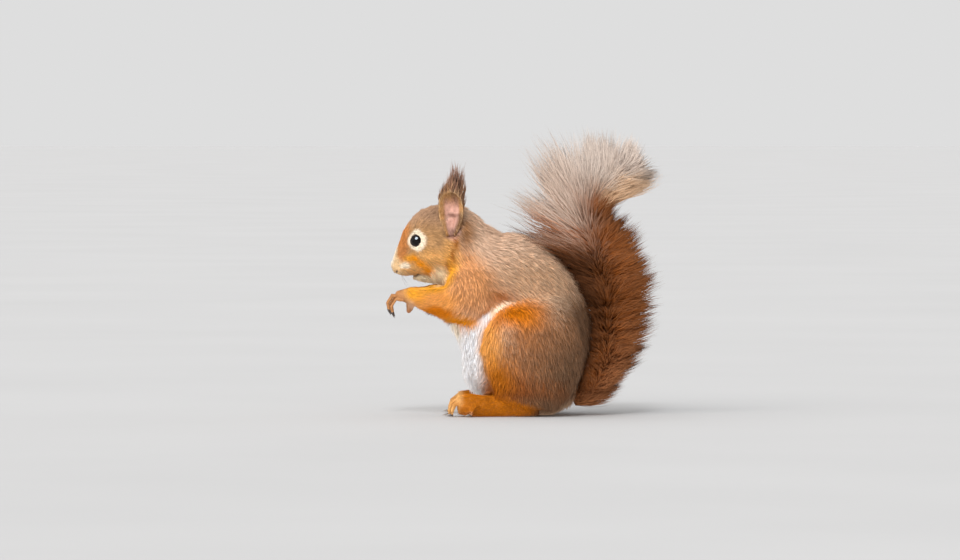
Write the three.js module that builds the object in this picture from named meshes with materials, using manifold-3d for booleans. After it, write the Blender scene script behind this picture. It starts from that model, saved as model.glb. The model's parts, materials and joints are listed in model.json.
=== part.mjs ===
// A life-size red squirrel sitting up on its haunches, with its hands drawn together in front of the
// chest and the tail raised along the back. Millimetres, +Z up. The animal faces -X, its left side is -Y.
// The solids reach to the tips of the coat. Each is a closed body, and neighbours keep a thin gap.
import * as THREE from "three";
import { mergeVertices } from "three/addons/utils/BufferGeometryUtils.js";
import Module from "manifold-3d";

const wasm = await Module();
wasm.setup();

// Driving dimensions.
const GAP = 0.3; // between neighbouring solids

const EYE_RADIUS = 4.5;
const EYE = { x: -65.4, y: 11.8, z: 111.8 };

const EAR_HEIGHT = 30; // base to tip of the pinna, without its tuft
const EAR_WIDTH = 17.5;
const EAR_DEPTH = 12;
const EAR_RIM = 2.2; // thickness of the pinna beside its hollow
const EAR_RIM_ENDS = 3.5; // and above and below it
const EAR_FLOOR = 1.8; // and behind it
const EAR_HOLLOW_OUT = 5.4; // how far the middle of the hollow lies outside that of the pinna
const EAR = { x: -44.3, y: 16.8, z: 128 };
const EAR_SPLAY = 9; // degrees that the ear leans outwards
const EAR_SWEEP = 6; // degrees that it leans back
const EAR_TURN = 18; // degrees that its hollow faces forwards of sideways

const CLAW_LENGTH = 3.8;
const CLAW_START = -0.35; // where a claw starts, bends and ends, in claw lengths from the fingertip
const CLAW_BEND = 0.45;
const CLAW_END = 0.8;
const CLAW_RISE = 0.05; // how far a claw rises at its bend and drops to its point, in its lengths
const CLAW_DROP = 0.4;
const CLAW_POINT = 0.3; // radius
const CLAW_TAPER = 0.8; // thickness of a claw at its bend, against its root
const FINGER_CLAW_WAY = [0.25, 0, -1];
const TOE_CLAW_RISE = 0.3; // for each step forwards
const FINGER_RADIUS = 1.5;
const TOE_RADIUS = 2.1;
const NOSE_DOME = 1.5;
const RUMP_DOME = 7;
const SHOULDER_DOME = 5;
const HIP_DOME = 2.5;
const HOCK_DOME = 2.4;
const HEEL_DOME = 3.4;
const TOE_DOME = 2.4;
const KNUCKLE_DOME = 2.6;
const CHIN_DOME = 1.2;
const TUFT_ROOT_DOME = 2;
const TUFT_TIP_DOME = 1.5;
const BAR_DOME = 0.8; // of the bar's end radius

// Facets round each shape, and rings along it.
const BODY_SIDES = 20;
const HEAD_RINGS = 12;
const NECK_RINGS = 3;
const TRUNK_RINGS = 10;
const TAIL_SIDES = 14;
const TAIL_RINGS_PER_LENGTH = 5;
const THIGH_SIDES = 14;
const THIGH_RINGS = 7;
const LIMB_SIDES = 11;
const DIGIT_SIDES = 5;
const DIGIT_STEPS = 3;
const CLAW_SIDES = 4;
const CLAW_STEPS = 2;
const FOOT_RINGS = 7;
const EYE_SIDES = 10;
const EAR_SIDES = 12;
const EAR_HOLLOW_SIDES = 10;
const EAR_TUFT_RINGS = 6;
const EAR_TUFT_SIDES = 9;
const JAW_RINGS = 5;
const GRAIN = 1e-4; // vertices nearer than this are one
const GROUND = 600; // side of the block that takes away what lies below the floor

// Stations of the body line, from the nose over the neck to the rump. Each is a section square to the
// line: [back x, back z, belly x, belly z, half width].
const HEAD_LINE = [
  [-81.6, 98.4, -79.7, 91.0, 3.6],
  [-80.9, 101.4, -76.8, 90.0, 5.0],
  [-79.5, 105.2, -73.3, 89.3, 6.3],
  [-77.1, 110.8, -69.4, 89.3, 8.4],
  [-75.0, 117.4, -66.2, 89.6, 11.6],
  [-70.1, 124.8, -62.0, 89.0, 15.0],
  [-64.2, 130.4, -57.8, 87.4, 17.6],
  [-55.0, 134.0, -54.2, 84.2, 19.2],
  [-44.5, 135.0, -50.8, 80.4, 20.2],
];
const NECK_LINE = [
  [-33.6, 132.3, -48.4, 73.6, 20.6],
  [-24.4, 124.0, -47.4, 66.6, 22.2],
];
const TRUNK_LINE = [
  [-13.6, 117.0, -45.2, 59.6, 24.2],
  [-1.0, 115.6, -41.0, 52.0, 26.2],
  [12.0, 111.4, -37.6, 43.6, 28.0],
  [24.0, 101.8, -36.0, 35.0, 29.0],
  [34.6, 90.0, -35.2, 26.4, 29.4],
  [41.6, 76.6, -32.0, 18.4, 29.2],
  [45.2, 62.0, -25.0, 10.6, 28.2],
  [45.2, 47.4, -14.0, 5.2, 26.4],
  [41.8, 33.0, -1.0, 3.0, 23.0],
  [36.6, 20.4, 12.0, 2.4, 18.0],
];
const BODY_LOW = 0.14; // how much wider a section is towards the belly than towards the back
const BODY_FULL = 0.88; // power that fills out the corners of a section

// Where the body line swells out, or sinks in, on both sides.
const SWELLS = [
  { x: -56, y: 16, z: 98, radius: 16, amount: 1.3 }, // cheeks
  { x: -76, y: 6, z: 93, radius: 7, amount: 1.3 }, // whisker pads
  { x: -63, y: 13, z: 120, radius: 9, amount: 0.9 }, // brows
  { x: -74, y: 10, z: 108, radius: 8, amount: -1.3 }, // hollows in front of the eyes
  { x: 20, y: 22, z: 104, radius: 22, amount: 1.5 }, // hips
];

// Limb stations, for the side at +Y: [front x, front z, rear x, rear z, half width, centre y].
const THIGH = [
  [-6.0, 75.4, 25.0, 77.4, 6.6, 22.6],
  [-14.0, 69.2, 31.6, 71.0, 11.2, 26.2],
  [-19.6, 61.4, 36.6, 61.6, 14.2, 28.2],
  [-23.8, 50.6, 39.6, 50.0, 15.8, 28.8],
  [-24.4, 38.6, 40.0, 37.6, 16.2, 28.8],
  [-21.8, 27.4, 38.0, 25.4, 14.8, 28.4],
  [-17.2, 16.6, 33.0, 14.4, 12.4, 27.6],
  [-12.4, 8.4, 24.0, 6.6, 9.6, 26.8],
];
// From the shoulder down to the elbow, then forwards to the wrist and the knuckles.
const ARM = [
  [-42.4, 97.0, -21.0, 101.0, 5.8, 14.2],
  [-46.4, 90.4, -13.6, 93.6, 9.2, 19.4],
  [-47.6, 85.0, -10.8, 80.6, 10.8, 21.4],
  [-48.0, 84.0, -15.6, 67.0, 10.4, 22.0],
  [-48.8, 83.8, -29.6, 59.4, 9.4, 21.4],
  [-51.2, 83.8, -42.8, 60.2, 8.4, 19.8],
  [-56.6, 83.4, -51.6, 63.0, 7.2, 17.0],
  [-62.2, 82.4, -59.6, 66.4, 6.0, 13.8],
  [-67.4, 81.4, -65.6, 69.2, 5.2, 11.0],
  [-72.8, 81.2, -70.4, 70.8, 5.4, 9.2],
  [-79.0, 79.6, -75.6, 72.6, 6.0, 8.2],
];
const ARM_RINGS_PER_STATION = 2;
const ELBOW = 4; // the stations of the cuts
const WRIST = 8;
const HIND_FOOT = [
  [9.0, 8.0, 9.0, -0.6, 4.6, 24.0],
  [1.0, 11.0, 1.0, -0.8, 5.8, 24.2],
  [-10.0, 13.0, -10.0, -0.6, 6.0, 25.0],
  [-22.0, 13.8, -22.0, -0.4, 6.8, 26.4],
  [-31.0, 15.0, -31.0, -0.2, 8.2, 27.4],
  [-38.0, 14.6, -38.6, 1.0, 8.0, 27.6],
];
const JAW = [
  [-67.8, 88.8, -67.3, 86.8, 1.7, 0],
  [-65.0, 91.0, -64.4, 85.6, 3.3, 0],
  [-60.0, 93.0, -59.6, 84.8, 5.3, 0],
  [-54.0, 93.0, -55.0, 83.8, 7.0, 0],
];
// The broad hair tuft on an ear.
const EAR_TUFT = [
  [-52.0, 125.0, -37.0, 123.0, 3.4, 14.0],
  [-53.4, 134.6, -35.4, 133.6, 4.8, 16.4],
  [-50.8, 143.6, -34.4, 144.0, 5.2, 18.2],
  [-46.4, 153.0, -34.6, 154.0, 4.4, 20.0],
  [-41.4, 162.2, -37.6, 162.4, 1.8, 21.4],
];

// Fingers from the thumb's side outwards: their distance from the middle plane, how far they reach
// past the row of knuckles, and how far below it they start.
const FINGERS = [
  { aside: 3.3, reach: -1.4, drop: 1.4 },
  { aside: 6.7, reach: 0.4, drop: 0.2 },
  { aside: 10.1, reach: 0, drop: 0.6 },
  { aside: 13.4, reach: -2.4, drop: 2.4 },
];
const FINGER_CLOSING = 0.02; // how far the fingers draw together, joint by joint
const FINGER_MIDDLE = 8;
const FINGER_TAPER = [0.95, 1, 0.94, 0.76]; // radius at each joint of a finger or toe
const CLAW_THICKNESS = 0.46; // of the digit's radius

const FINGER_PATH = [
  [-74.6, 76.0], // [x, z] from the knuckle to the tip
  [-81.6, 76.9],
  [-84.6, 72.2],
  [-83.8, 67.4],
];
const THUMB_PAD = [
  [-69.8, 9.6, 72.6],
  [-70.4, 8.4, 69.4],
  [-71.4, 7.6, 66.8],
];
const THUMB_PAD_RADII = [3.2, 2.8, 1.9];

// Toes from the inner one outwards: where they leave the foot, how far they reach forwards and
// outwards, and how far the knuckle rises.
const TOES = [
  { root: [-27.0, 21.6, 6.4], reach: 9.6, out: -3.0, rise: 0.8 },
  { root: [-34.2, 22.6, 9.8], reach: 10.6, out: -1.7, rise: 1.4 },
  { root: [-34.8, 27.0, 10.2], reach: 11.2, out: 0, rise: 1.6 },
  { root: [-34.2, 31.4, 9.6], reach: 9.8, out: 1.9, rise: 1.4 },
  { root: [-25.0, 31.6, 6.4], reach: 7.0, out: 5.0, rise: 1.0 },
];

const KNUCKLE_ALONG = 0.38; // shares of a toe's reach
const JOINT_ALONG = 0.78;
const JOINT_HEIGHT = 0.7; // of the knuckle's height
const TOE_TIP_HEIGHT = 0.68; // of the toe's radius

// Stations of the tail, from its root on the floor to the tip of the plume, which folds back over a
// notch behind: [front x, front z, rear x, rear z, half width].
const TAIL_LINE = [
  [30.0, 15.0, 37.0, -0.6, 8.0],
  [38.8, 23.6, 54.0, 0.6, 12.6],
  [41.0, 33.0, 64.0, 19.0, 18.4],
  [44.0, 44.4, 77.6, 35.8, 23.6],
  [44.0, 58.0, 84.2, 55.4, 27.0],
  [41.6, 71.0, 86.4, 76.0, 28.8],
  [37.0, 83.0, 84.0, 95.0, 28.4],
  [30.0, 94.0, 77.6, 112.0, 26.8],
  [17.0, 105.0, 66.4, 127.6, 26.0],
  [-2.0, 124.0, 60.4, 133.6, 28.6],
  [5.0, 149.0, 61.4, 135.4, 32.0],
  [13.6, 168.0, 65.0, 137.0, 33.4],
  [32.0, 179.4, 70.0, 139.2, 32.6],
  [56.0, 180.6, 76.4, 142.0, 28.4],
  [75.0, 176.0, 83.0, 147.0, 20.0],
  [84.6, 169.0, 87.6, 154.0, 10.0],
];
const TAIL_TIP_DOME = 3;
const TAIL_LENGTHS = [
  { name: "tail_root", colour: "tail" },
  { name: "tail_lower", colour: "tail" },
  { name: "tail_middle", colour: "tail" },
  { name: "tail_bend", colour: "plume" },
  { name: "tail_plume", colour: "plume" },
];

// Hair colours, and the bare parts.
const COLOURS = {
  russet: { color: 0xb8763f, roughness: 0.85 },
  grizzled: { color: 0xa9876a, roughness: 0.85 },
  orange: { color: 0xc87d2c, roughness: 0.85 },
  tail: { color: 0x7a4a24, roughness: 0.9 },
  plume: { color: 0xc6a690, roughness: 0.9 },
  ear: { color: 0x8c6650, roughness: 0.9 },
  eye: { color: 0x0d0a0a, roughness: 0.08 },
};

const pointAt = (x, y, z) => new THREE.Vector3(x, y, z);

// A closed geometry as a solid that can be joined and cut.
function solidOf(geometry) {
  const bare = geometry.clone();
  bare.deleteAttribute("normal");
  bare.deleteAttribute("uv");
  const merged = mergeVertices(bare, GRAIN);
  return new wasm.Manifold(
    new wasm.Mesh({
      numProp: 3,
      vertProperties: new Float32Array(merged.attributes.position.array),
      triVerts: new Uint32Array(merged.index.array),
    }),
  );
}

function geometryOf(solid) {
  const mesh = solid.getMesh();
  const geometry = new THREE.BufferGeometry();
  geometry.setAttribute("position", new THREE.BufferAttribute(mesh.vertProperties, 3));
  geometry.setIndex(new THREE.BufferAttribute(mesh.triVerts, 1));
  const shaded = geometry.toNonIndexed();
  shaded.computeVertexNormals();
  return shaded;
}

const centreOf = (ring) =>
  ring.reduce((sum, p) => sum.add(p), pointAt(0, 0, 0)).divideScalar(ring.length);

// The unit normal of a ring's plane that points along a direction.
function planeNormal(ring, direction) {
  const middle = centreOf(ring);
  const quarter = Math.round(ring.length / 4);
  const normal = ring[0].clone().sub(middle).cross(ring[quarter].clone().sub(middle)).normalize();
  return normal.dot(direction) < 0 ? normal.negate() : normal;
}

// An oval ring with one axis from a to b in the plane y = centre and the other across the body.
// shape.low widens its half at b and narrows its half at a, and shape.full under 1 fills its corners.
function ovalRing(a, b, half, centre, sides, shape) {
  const filled = (wave) => Math.sign(wave) * Math.abs(wave) ** shape.full;
  const middle = a.clone().add(b).multiplyScalar(0.5);
  const reach = a.clone().sub(b).multiplyScalar(0.5);
  return Array.from({ length: sides }, (_, i) => {
    const angle = (2 * Math.PI * i) / sides;
    const point = middle.clone().addScaledVector(reach, filled(Math.cos(angle)));
    point.y = centre + half * filled(Math.sin(angle)) * (1 - shape.low * Math.cos(angle));
    return point;
  });
}

// Rings along smooth curves through the stations. grow swells every section by that much.
function ringsThrough(stations, count, sides, grow = 0, shape = { low: 0, full: 1 }) {
  const fronts = new THREE.CatmullRomCurve3(stations.map(([x, z, , , half]) => pointAt(x, half, z)));
  const rears = new THREE.CatmullRomCurve3(stations.map(([, , x, z, , y = 0]) => pointAt(x, y, z)));
  return Array.from({ length: count }, (_, i) => {
    const a = fronts.getPoint(i / (count - 1));
    const b = rears.getPoint(i / (count - 1));
    const half = a.y + grow;
    const centre = b.y;
    a.y = b.y = centre;
    const outwards = a.clone().sub(b).setLength(grow);
    return ovalRing(a.add(outwards), b.sub(outwards), half, centre, sides, shape);
  });
}

// Moves a ring's points near each swell, on both sides of the body, outwards within the ring.
function swollen(ring) {
  const middle = centreOf(ring);
  return ring.map((p) => {
    const outwards = p.clone().sub(middle).normalize();
    const moved = p.clone();
    for (const { x, y, z, radius, amount } of SWELLS) {
      const distance = Math.hypot(p.x - x, Math.abs(p.y) - y, p.z - z);
      moved.addScaledVector(outwards, amount * Math.max(0, 1 - (distance / radius) ** 2) ** 2);
    }
    return moved;
  });
}

// The shrinking rings of a rounded end, from the ring outwards.
function domeRings(ring, inner, depth, steps) {
  if (depth === 0) return [];
  const middle = centreOf(ring);
  const normal = planeNormal(ring, middle.clone().sub(centreOf(inner)));
  return Array.from({ length: steps - 1 }, (_, i) => {
    const turn = ((i + 1) / steps) * (Math.PI / 2);
    return ring.map((p) =>
      p
        .clone()
        .sub(middle)
        .multiplyScalar(Math.cos(turn))
        .add(middle)
        .addScaledVector(normal, depth * Math.sin(turn)),
    );
  });
}

// A closed skin over the rings, with each end flat or rounded to the depth given. Its triangles on one
// side of the body mirror those on the other.
function loft(rings, startDome = 0, endDome = 0, domeSteps = 3) {
  const all = [
    ...domeRings(rings[0], rings[1], startDome, domeSteps).reverse(),
    ...rings,
    ...domeRings(rings.at(-1), rings.at(-2), endDome, domeSteps),
  ];
  const sides = rings[0].length;
  const tip = (ring, inner, depth) => {
    const middle = centreOf(ring);
    return middle.clone().addScaledVector(planeNormal(ring, middle.sub(centreOf(inner))), depth);
  };
  const points = all.flat();
  const start = points.push(tip(rings[0], rings[1], startDome)) - 1;
  const end = points.push(tip(rings.at(-1), rings.at(-2), endDome)) - 1;
  const faces = [];
  for (let i = 0; i < sides; i++) {
    const next = (i + 1) % sides;
    for (let k = 0; k + 1 < all.length; k++) {
      const [a, b, c, d] = [k * sides + i, k * sides + next, (k + 1) * sides + next, (k + 1) * sides + i];
      faces.push(...(2 * i < sides ? [a, b, c, a, c, d] : [a, b, d, b, c, d]));
    }
    const last = (all.length - 1) * sides;
    faces.push(start, next, i, end, last + i, last + next);
  }
  const geometry = new THREE.BufferGeometry().setFromPoints(points);
  geometry.setIndex(faces);
  if (facesInwards(points, faces)) geometry.setIndex(faces.reverse());
  return geometry;
}

// Whether the faces of a closed surface point into it, from the sign of its volume.
function facesInwards(points, faces) {
  let volume = 0;
  for (let i = 0; i < faces.length; i += 3) {
    const [a, b, c] = [points[faces[i]], points[faces[i + 1]], points[faces[i + 2]]];
    volume += a.dot(b.clone().cross(c));
  }
  return volume < 0;
}

// Splits rings at some of them into runs whose flat ends stand GAP apart.
function partRings(rings, cuts) {
  const bounds = [0, ...cuts, rings.length - 1];
  return bounds.slice(1).map((end, i) => {
    const run = rings.slice(bounds[i], end + 1).map((ring) => ring.map((p) => p.clone()));
    const inset = (ring, inner) => {
      const normal = planeNormal(ring, centreOf(inner).sub(centreOf(ring)));
      ring.forEach((p) => p.addScaledVector(normal, GAP / 2));
    };
    if (i > 0) inset(run[0], run[1]);
    if (i < cuts.length) inset(run.at(-1), run.at(-2));
    return run;
  });
}

// A round bar along a smooth curve through the places, with a radius for each place. Its ends are
// round, or pointed where domeSteps is 1.
function bar(places, radii, steps, sides, domeSteps = 2) {
  const curve = new THREE.CatmullRomCurve3(places);
  const sizes = new THREE.CatmullRomCurve3(radii.map((r) => pointAt(r, 0, 0)));
  const tangents = [];
  const centres = [];
  for (let i = 0; i <= steps; i++) {
    centres.push(curve.getPoint(i / steps));
    tangents.push(curve.getTangent(i / steps));
  }
  const across = pointAt(0, 1, 0).cross(tangents[0]).normalize();
  const rings = centres.map((centre, i) => {
    across.addScaledVector(tangents[i], -across.dot(tangents[i])).normalize();
    const up = tangents[i].clone().cross(across);
    const radius = sizes.getPoint(i / steps).x;
    return Array.from({ length: sides }, (_, k) => {
      const angle = (2 * Math.PI * k) / sides;
      return centre
        .clone()
        .addScaledVector(across, radius * Math.cos(angle))
        .addScaledVector(up, radius * Math.sin(angle));
    });
  });
  return solidOf(loft(rings, radii[0] * BAR_DOME, radii.at(-1) * BAR_DOME, domeSteps));
}

// An egg shape of three half sizes about the origin, turned and moved into place.
function egg(halfX, halfY, halfZ, place, sides, turn = new THREE.Euler()) {
  const geometry = new THREE.SphereGeometry(1, sides, Math.round(sides * 0.7));
  geometry.scale(halfX, halfY, halfZ);
  geometry.applyQuaternion(new THREE.Quaternion().setFromEuler(turn));
  geometry.translate(place.x, place.y, place.z);
  return solidOf(geometry);
}

// The same solid on the other side of the body.
function mirrored(solid) {
  const geometry = geometryOf(solid);
  const flipped = geometry.clone().scale(1, -1, 1);
  const merged = mergeVertices(flipped.deleteAttribute("normal"), GRAIN);
  merged.setIndex(Array.from(merged.index.array).reverse());
  return solidOf(merged);
}

// What lies above the floor, z = 0, which leaves flats where a solid stood through it.
function aboveFloor(solid) {
  const ground = new THREE.BoxGeometry(GROUND, GROUND, GROUND).translate(0, 0, -GROUND / 2);
  return solid.subtract(solidOf(ground));
}

// The rings of the whole body line: those of the head first, then the neck's and the trunk's. Each is
// spaced evenly within its own run of stations.
function bodyRings(grow = 0) {
  const runs = [
    { stations: HEAD_LINE.length - 1, rings: HEAD_RINGS },
    { stations: NECK_LINE.length, rings: NECK_RINGS },
    { stations: TRUNK_LINE.length, rings: TRUNK_RINGS },
  ];
  const line = [...HEAD_LINE, ...NECK_LINE, ...TRUNK_LINE];
  const finePerStation = 8;
  const shape = { low: BODY_LOW, full: BODY_FULL };
  const fine = ringsThrough(line, 1 + finePerStation * (line.length - 1), BODY_SIDES, grow, shape);
  const kept = [fine[0]];
  let station = 0;
  for (const run of runs) {
    for (let i = 1; i <= run.rings; i++) {
      kept.push(fine[Math.round(finePerStation * (station + (run.stations * i) / run.rings))]);
    }
    station += run.stations;
  }
  return kept.map(swollen);
}

function bodySolid(grow) {
  return solidOf(loft(bodyRings(grow), NOSE_DOME + grow, RUMP_DOME + grow));
}

function limb(stations, count, sides, startDome, endDome, grow = 0) {
  return solidOf(loft(ringsThrough(stations, count, sides, grow), startDome, endDome));
}

// A claw that hooks down from the tip of a digit.
function claw(tip, forward, radius) {
  const along = forward.clone().setLength(CLAW_LENGTH);
  const places = [CLAW_START, CLAW_BEND, CLAW_END].map((share) =>
    tip.clone().addScaledVector(along, share),
  );
  places[1].z += CLAW_LENGTH * CLAW_RISE;
  places[2].z -= CLAW_LENGTH * CLAW_DROP;
  return bar(places, [radius, radius * CLAW_TAPER, CLAW_POINT], CLAW_STEPS, CLAW_SIDES, 1);
}

function digit(places, radius, clawForward) {
  const radii = FINGER_TAPER.map((share) => share * radius);
  const flesh = bar(places, radii, DIGIT_STEPS, DIGIT_SIDES, 1);
  return flesh.add(claw(places.at(-1), clawForward, radius * CLAW_THICKNESS));
}

// A hand at +Y, palm down and in, its four fingers curled round the place where food is held.
function handSolid(palmRun) {
  let hand = solidOf(loft(palmRun, 0, KNUCKLE_DOME));
  for (const { aside, reach, drop } of FINGERS) {
    const places = FINGER_PATH.map(([x, z], joint) => {
      const inwards = (FINGER_MIDDLE - aside) * FINGER_CLOSING * joint;
      return pointAt(x - reach * Math.min(joint, 1), aside + inwards, z - drop);
    });
    hand = hand.add(digit(places, FINGER_RADIUS, pointAt(...FINGER_CLAW_WAY)));
  }
  const pad = THUMB_PAD.map((place) => pointAt(...place));
  return hand.add(bar(pad, THUMB_PAD_RADII, DIGIT_STEPS, DIGIT_SIDES));
}

// A hind foot at +Y, flat on the floor, its five toes spread.
function footSolid(grow = 0) {
  let foot = limb(HIND_FOOT, FOOT_RINGS, LIMB_SIDES, HEEL_DOME, TOE_DOME, grow);
  for (const { root: [x, y, z], reach, out, rise } of TOES) {
    const places = [
      pointAt(x, y, z),
      pointAt(x - reach * KNUCKLE_ALONG, y + out * KNUCKLE_ALONG, z + rise),
      pointAt(x - reach * JOINT_ALONG, y + out * JOINT_ALONG, (z + rise) * JOINT_HEIGHT),
      pointAt(x - reach, y + out, TOE_RADIUS * TOE_TIP_HEIGHT),
    ];
    foot = foot.add(digit(places, TOE_RADIUS + grow, pointAt(-1, out / reach, TOE_CLAW_RISE)));
  }
  return aboveFloor(foot);
}

// An ear at +Y: an upright oval shell with a broad hair tuft above, hollow towards the outside.
function earSolid() {
  const degrees = [-EAR_SPLAY, EAR_SWEEP, EAR_TURN];
  const lean = new THREE.Euler(...degrees.map(THREE.MathUtils.degToRad));
  const out = pointAt(0, 1, 0).applyEuler(lean);
  const middle = pointAt(EAR.x, EAR.y, EAR.z);
  const [halfWidth, halfDepth, halfHeight] = [EAR_WIDTH / 2, EAR_DEPTH / 2, EAR_HEIGHT / 2];
  const mouth = middle.clone().addScaledVector(out, EAR_HOLLOW_OUT);
  const hollowDepth = EAR_HOLLOW_OUT + halfDepth - EAR_FLOOR;
  const hollowHeight = halfHeight - EAR_RIM_ENDS;
  const shell = egg(halfWidth, halfDepth, halfHeight, middle, EAR_SIDES, lean);
  const hollow = egg(halfWidth - EAR_RIM, hollowDepth, hollowHeight, mouth, EAR_HOLLOW_SIDES, lean);
  const tuft = limb(EAR_TUFT, EAR_TUFT_RINGS, EAR_TUFT_SIDES, TUFT_ROOT_DOME, TUFT_TIP_DOME);
  return shell.add(tuft).subtract(hollow);
}

function meshOf(name, solid, colour) {
  const mesh = new THREE.Mesh(geometryOf(solid), new THREE.MeshStandardMaterial(COLOURS[colour]));
  mesh.name = name;
  return mesh;
}

// A mesh for the side at +Y, the animal's right, and its mirror image for the left.
function pairOf(name, solid, colour) {
  return [meshOf(`${name}_right`, solid, colour), meshOf(`${name}_left`, mirrored(solid), colour)];
}

// What is left of a solid that makes room, on both sides, for the solids in a list.
function clearOf(solid, others) {
  return others.reduce((left, other) => left.subtract(other).subtract(mirrored(other)), solid);
}

function headMeshes(headRun, bodyGrown) {
  const eyeball = (grow) => egg(...Array(3).fill(EYE_RADIUS + grow), EYE, EYE_SIDES);
  const head = clearOf(solidOf(loft(headRun, NOSE_DOME, 0)), [eyeball(GAP)]);
  return [
    meshOf("head", head, "russet"),
    meshOf("lower_jaw", limb(JAW, JAW_RINGS, LIMB_SIDES, CHIN_DOME, 0).subtract(bodyGrown), "orange"),
    ...pairOf("eye", eyeball(0), "eye"),
    ...pairOf("ear", earSolid().subtract(bodyGrown), "ear"),
  ];
}

// The arms and legs. The thigh makes room for the arm and foot, and all of them for the body.
function limbMeshes(bodyGrown) {
  const armRings = (grow) =>
    ringsThrough(ARM, 1 + ARM_RINGS_PER_STATION * (ARM.length - 1), LIMB_SIDES, grow);
  const armCuts = [ELBOW, WRIST].map((station) => station * ARM_RINGS_PER_STATION);
  const [upperRun, forearmRun, palmRun] = partRings(armRings(0), armCuts);
  const armGrown = solidOf(loft(armRings(GAP), SHOULDER_DOME + GAP, 0));
  const thigh = limb(THIGH, THIGH_RINGS, THIGH_SIDES, HIP_DOME, HOCK_DOME)
    .subtract(footSolid(GAP))
    .subtract(armGrown)
    .subtract(bodyGrown);
  return [
    ...pairOf("upper_arm", solidOf(loft(upperRun, SHOULDER_DOME, 0)).subtract(bodyGrown), "russet"),
    ...pairOf("forearm", solidOf(loft(forearmRun)).subtract(bodyGrown), "orange"),
    ...pairOf("hand", handSolid(palmRun), "orange"),
    ...pairOf("thigh", aboveFloor(thigh), "russet"),
    ...pairOf("hind_foot", footSolid().subtract(bodyGrown), "orange"),
  ];
}

function tailMeshes(bodyGrown) {
  const legsGrown = [
    limb(THIGH, THIGH_RINGS, THIGH_SIDES, HIP_DOME + GAP, HOCK_DOME + GAP, GAP),
    footSolid(GAP),
  ];
  const count = TAIL_LENGTHS.length;
  const rings = ringsThrough(TAIL_LINE, 1 + TAIL_RINGS_PER_LENGTH * count, TAIL_SIDES);
  const cuts = TAIL_LENGTHS.slice(1).map((_, i) => TAIL_RINGS_PER_LENGTH * (i + 1));
  return partRings(rings, cuts).map((run, i) => {
    const length = solidOf(loft(run, 0, i === count - 1 ? TAIL_TIP_DOME : 0)).subtract(bodyGrown);
    return meshOf(TAIL_LENGTHS[i].name, aboveFloor(clearOf(length, legsGrown)), TAIL_LENGTHS[i].colour);
  });
}

function makeSquirrel() {
  const cuts = [HEAD_RINGS, HEAD_RINGS + NECK_RINGS];
  const [headRun, neckRun, trunkRun] = partRings(bodyRings(), cuts);
  const bodyGrown = bodySolid(GAP);
  const squirrel = new THREE.Group();
  squirrel.add(
    ...headMeshes(headRun, bodyGrown),
    meshOf("neck", solidOf(loft(neckRun)), "grizzled"),
    meshOf("trunk", aboveFloor(solidOf(loft(trunkRun, 0, RUMP_DOME))), "grizzled"),
    ...limbMeshes(bodyGrown),
    ...tailMeshes(bodyGrown),
  );

  // The origin is the middle of the floor under the whole animal.
  const box = new THREE.Box3().setFromObject(squirrel);
  const middle = box.getCenter(new THREE.Vector3());
  squirrel.position.set(-middle.x, -middle.y, -box.min.z);
  return squirrel;
}

export default makeSquirrel();
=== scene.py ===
"""A red squirrel sitting up on its haunches: skin, coat, eyes, claws and whiskers over its solids."""

import json
import math

import bmesh
import bpy
import numpy as np
from bpy.props import FloatProperty, FloatVectorProperty, IntProperty, PointerProperty
from mathutils import Matrix, Vector
from mathutils.bvhtree import BVHTree

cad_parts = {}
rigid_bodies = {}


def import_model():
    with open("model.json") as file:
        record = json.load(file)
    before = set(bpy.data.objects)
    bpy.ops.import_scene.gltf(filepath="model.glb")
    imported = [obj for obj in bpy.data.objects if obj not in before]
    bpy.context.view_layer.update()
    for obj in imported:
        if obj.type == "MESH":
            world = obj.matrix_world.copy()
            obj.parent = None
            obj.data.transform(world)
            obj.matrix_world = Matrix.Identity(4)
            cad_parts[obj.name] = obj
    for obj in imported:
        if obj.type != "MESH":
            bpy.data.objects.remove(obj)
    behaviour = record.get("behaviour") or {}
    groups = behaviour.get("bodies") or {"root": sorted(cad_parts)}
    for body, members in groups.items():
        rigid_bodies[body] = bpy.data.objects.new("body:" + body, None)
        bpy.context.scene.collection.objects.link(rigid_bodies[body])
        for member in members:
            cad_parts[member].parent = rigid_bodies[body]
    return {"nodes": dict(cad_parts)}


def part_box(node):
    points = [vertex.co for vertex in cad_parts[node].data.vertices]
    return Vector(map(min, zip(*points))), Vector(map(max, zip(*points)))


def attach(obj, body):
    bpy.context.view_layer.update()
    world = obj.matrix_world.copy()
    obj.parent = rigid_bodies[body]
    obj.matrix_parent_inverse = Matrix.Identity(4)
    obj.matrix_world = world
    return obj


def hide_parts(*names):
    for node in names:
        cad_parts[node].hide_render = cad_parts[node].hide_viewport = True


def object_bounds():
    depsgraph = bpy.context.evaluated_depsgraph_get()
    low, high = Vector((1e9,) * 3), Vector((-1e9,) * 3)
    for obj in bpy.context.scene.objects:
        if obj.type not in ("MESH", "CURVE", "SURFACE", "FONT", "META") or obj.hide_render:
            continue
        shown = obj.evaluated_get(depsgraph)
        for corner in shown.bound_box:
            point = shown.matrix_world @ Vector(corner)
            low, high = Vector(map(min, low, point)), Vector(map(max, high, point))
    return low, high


bl_info = {
    "name": "Red Squirrel",
    "version": (1, 0, 0),
    "blender": (4, 5, 0),
    "location": "View3D > Sidebar > Squirrel",
    "description": "Skin, coat, eyes, claws and whiskers of a sitting red squirrel",
    "category": "Object",
}

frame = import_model()
CAD_BOX = [list(corner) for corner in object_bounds()]
MM = (CAD_BOX[1][2] - CAD_BOX[0][2]) / 181.1  # a millimetre on an animal of this size
SIDES = {"left": -1, "right": 1}


def paired(*names):
    """The names of both nodes of each pair."""
    return [f"{name}_{side}" for name in names for side in SIDES]


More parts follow.
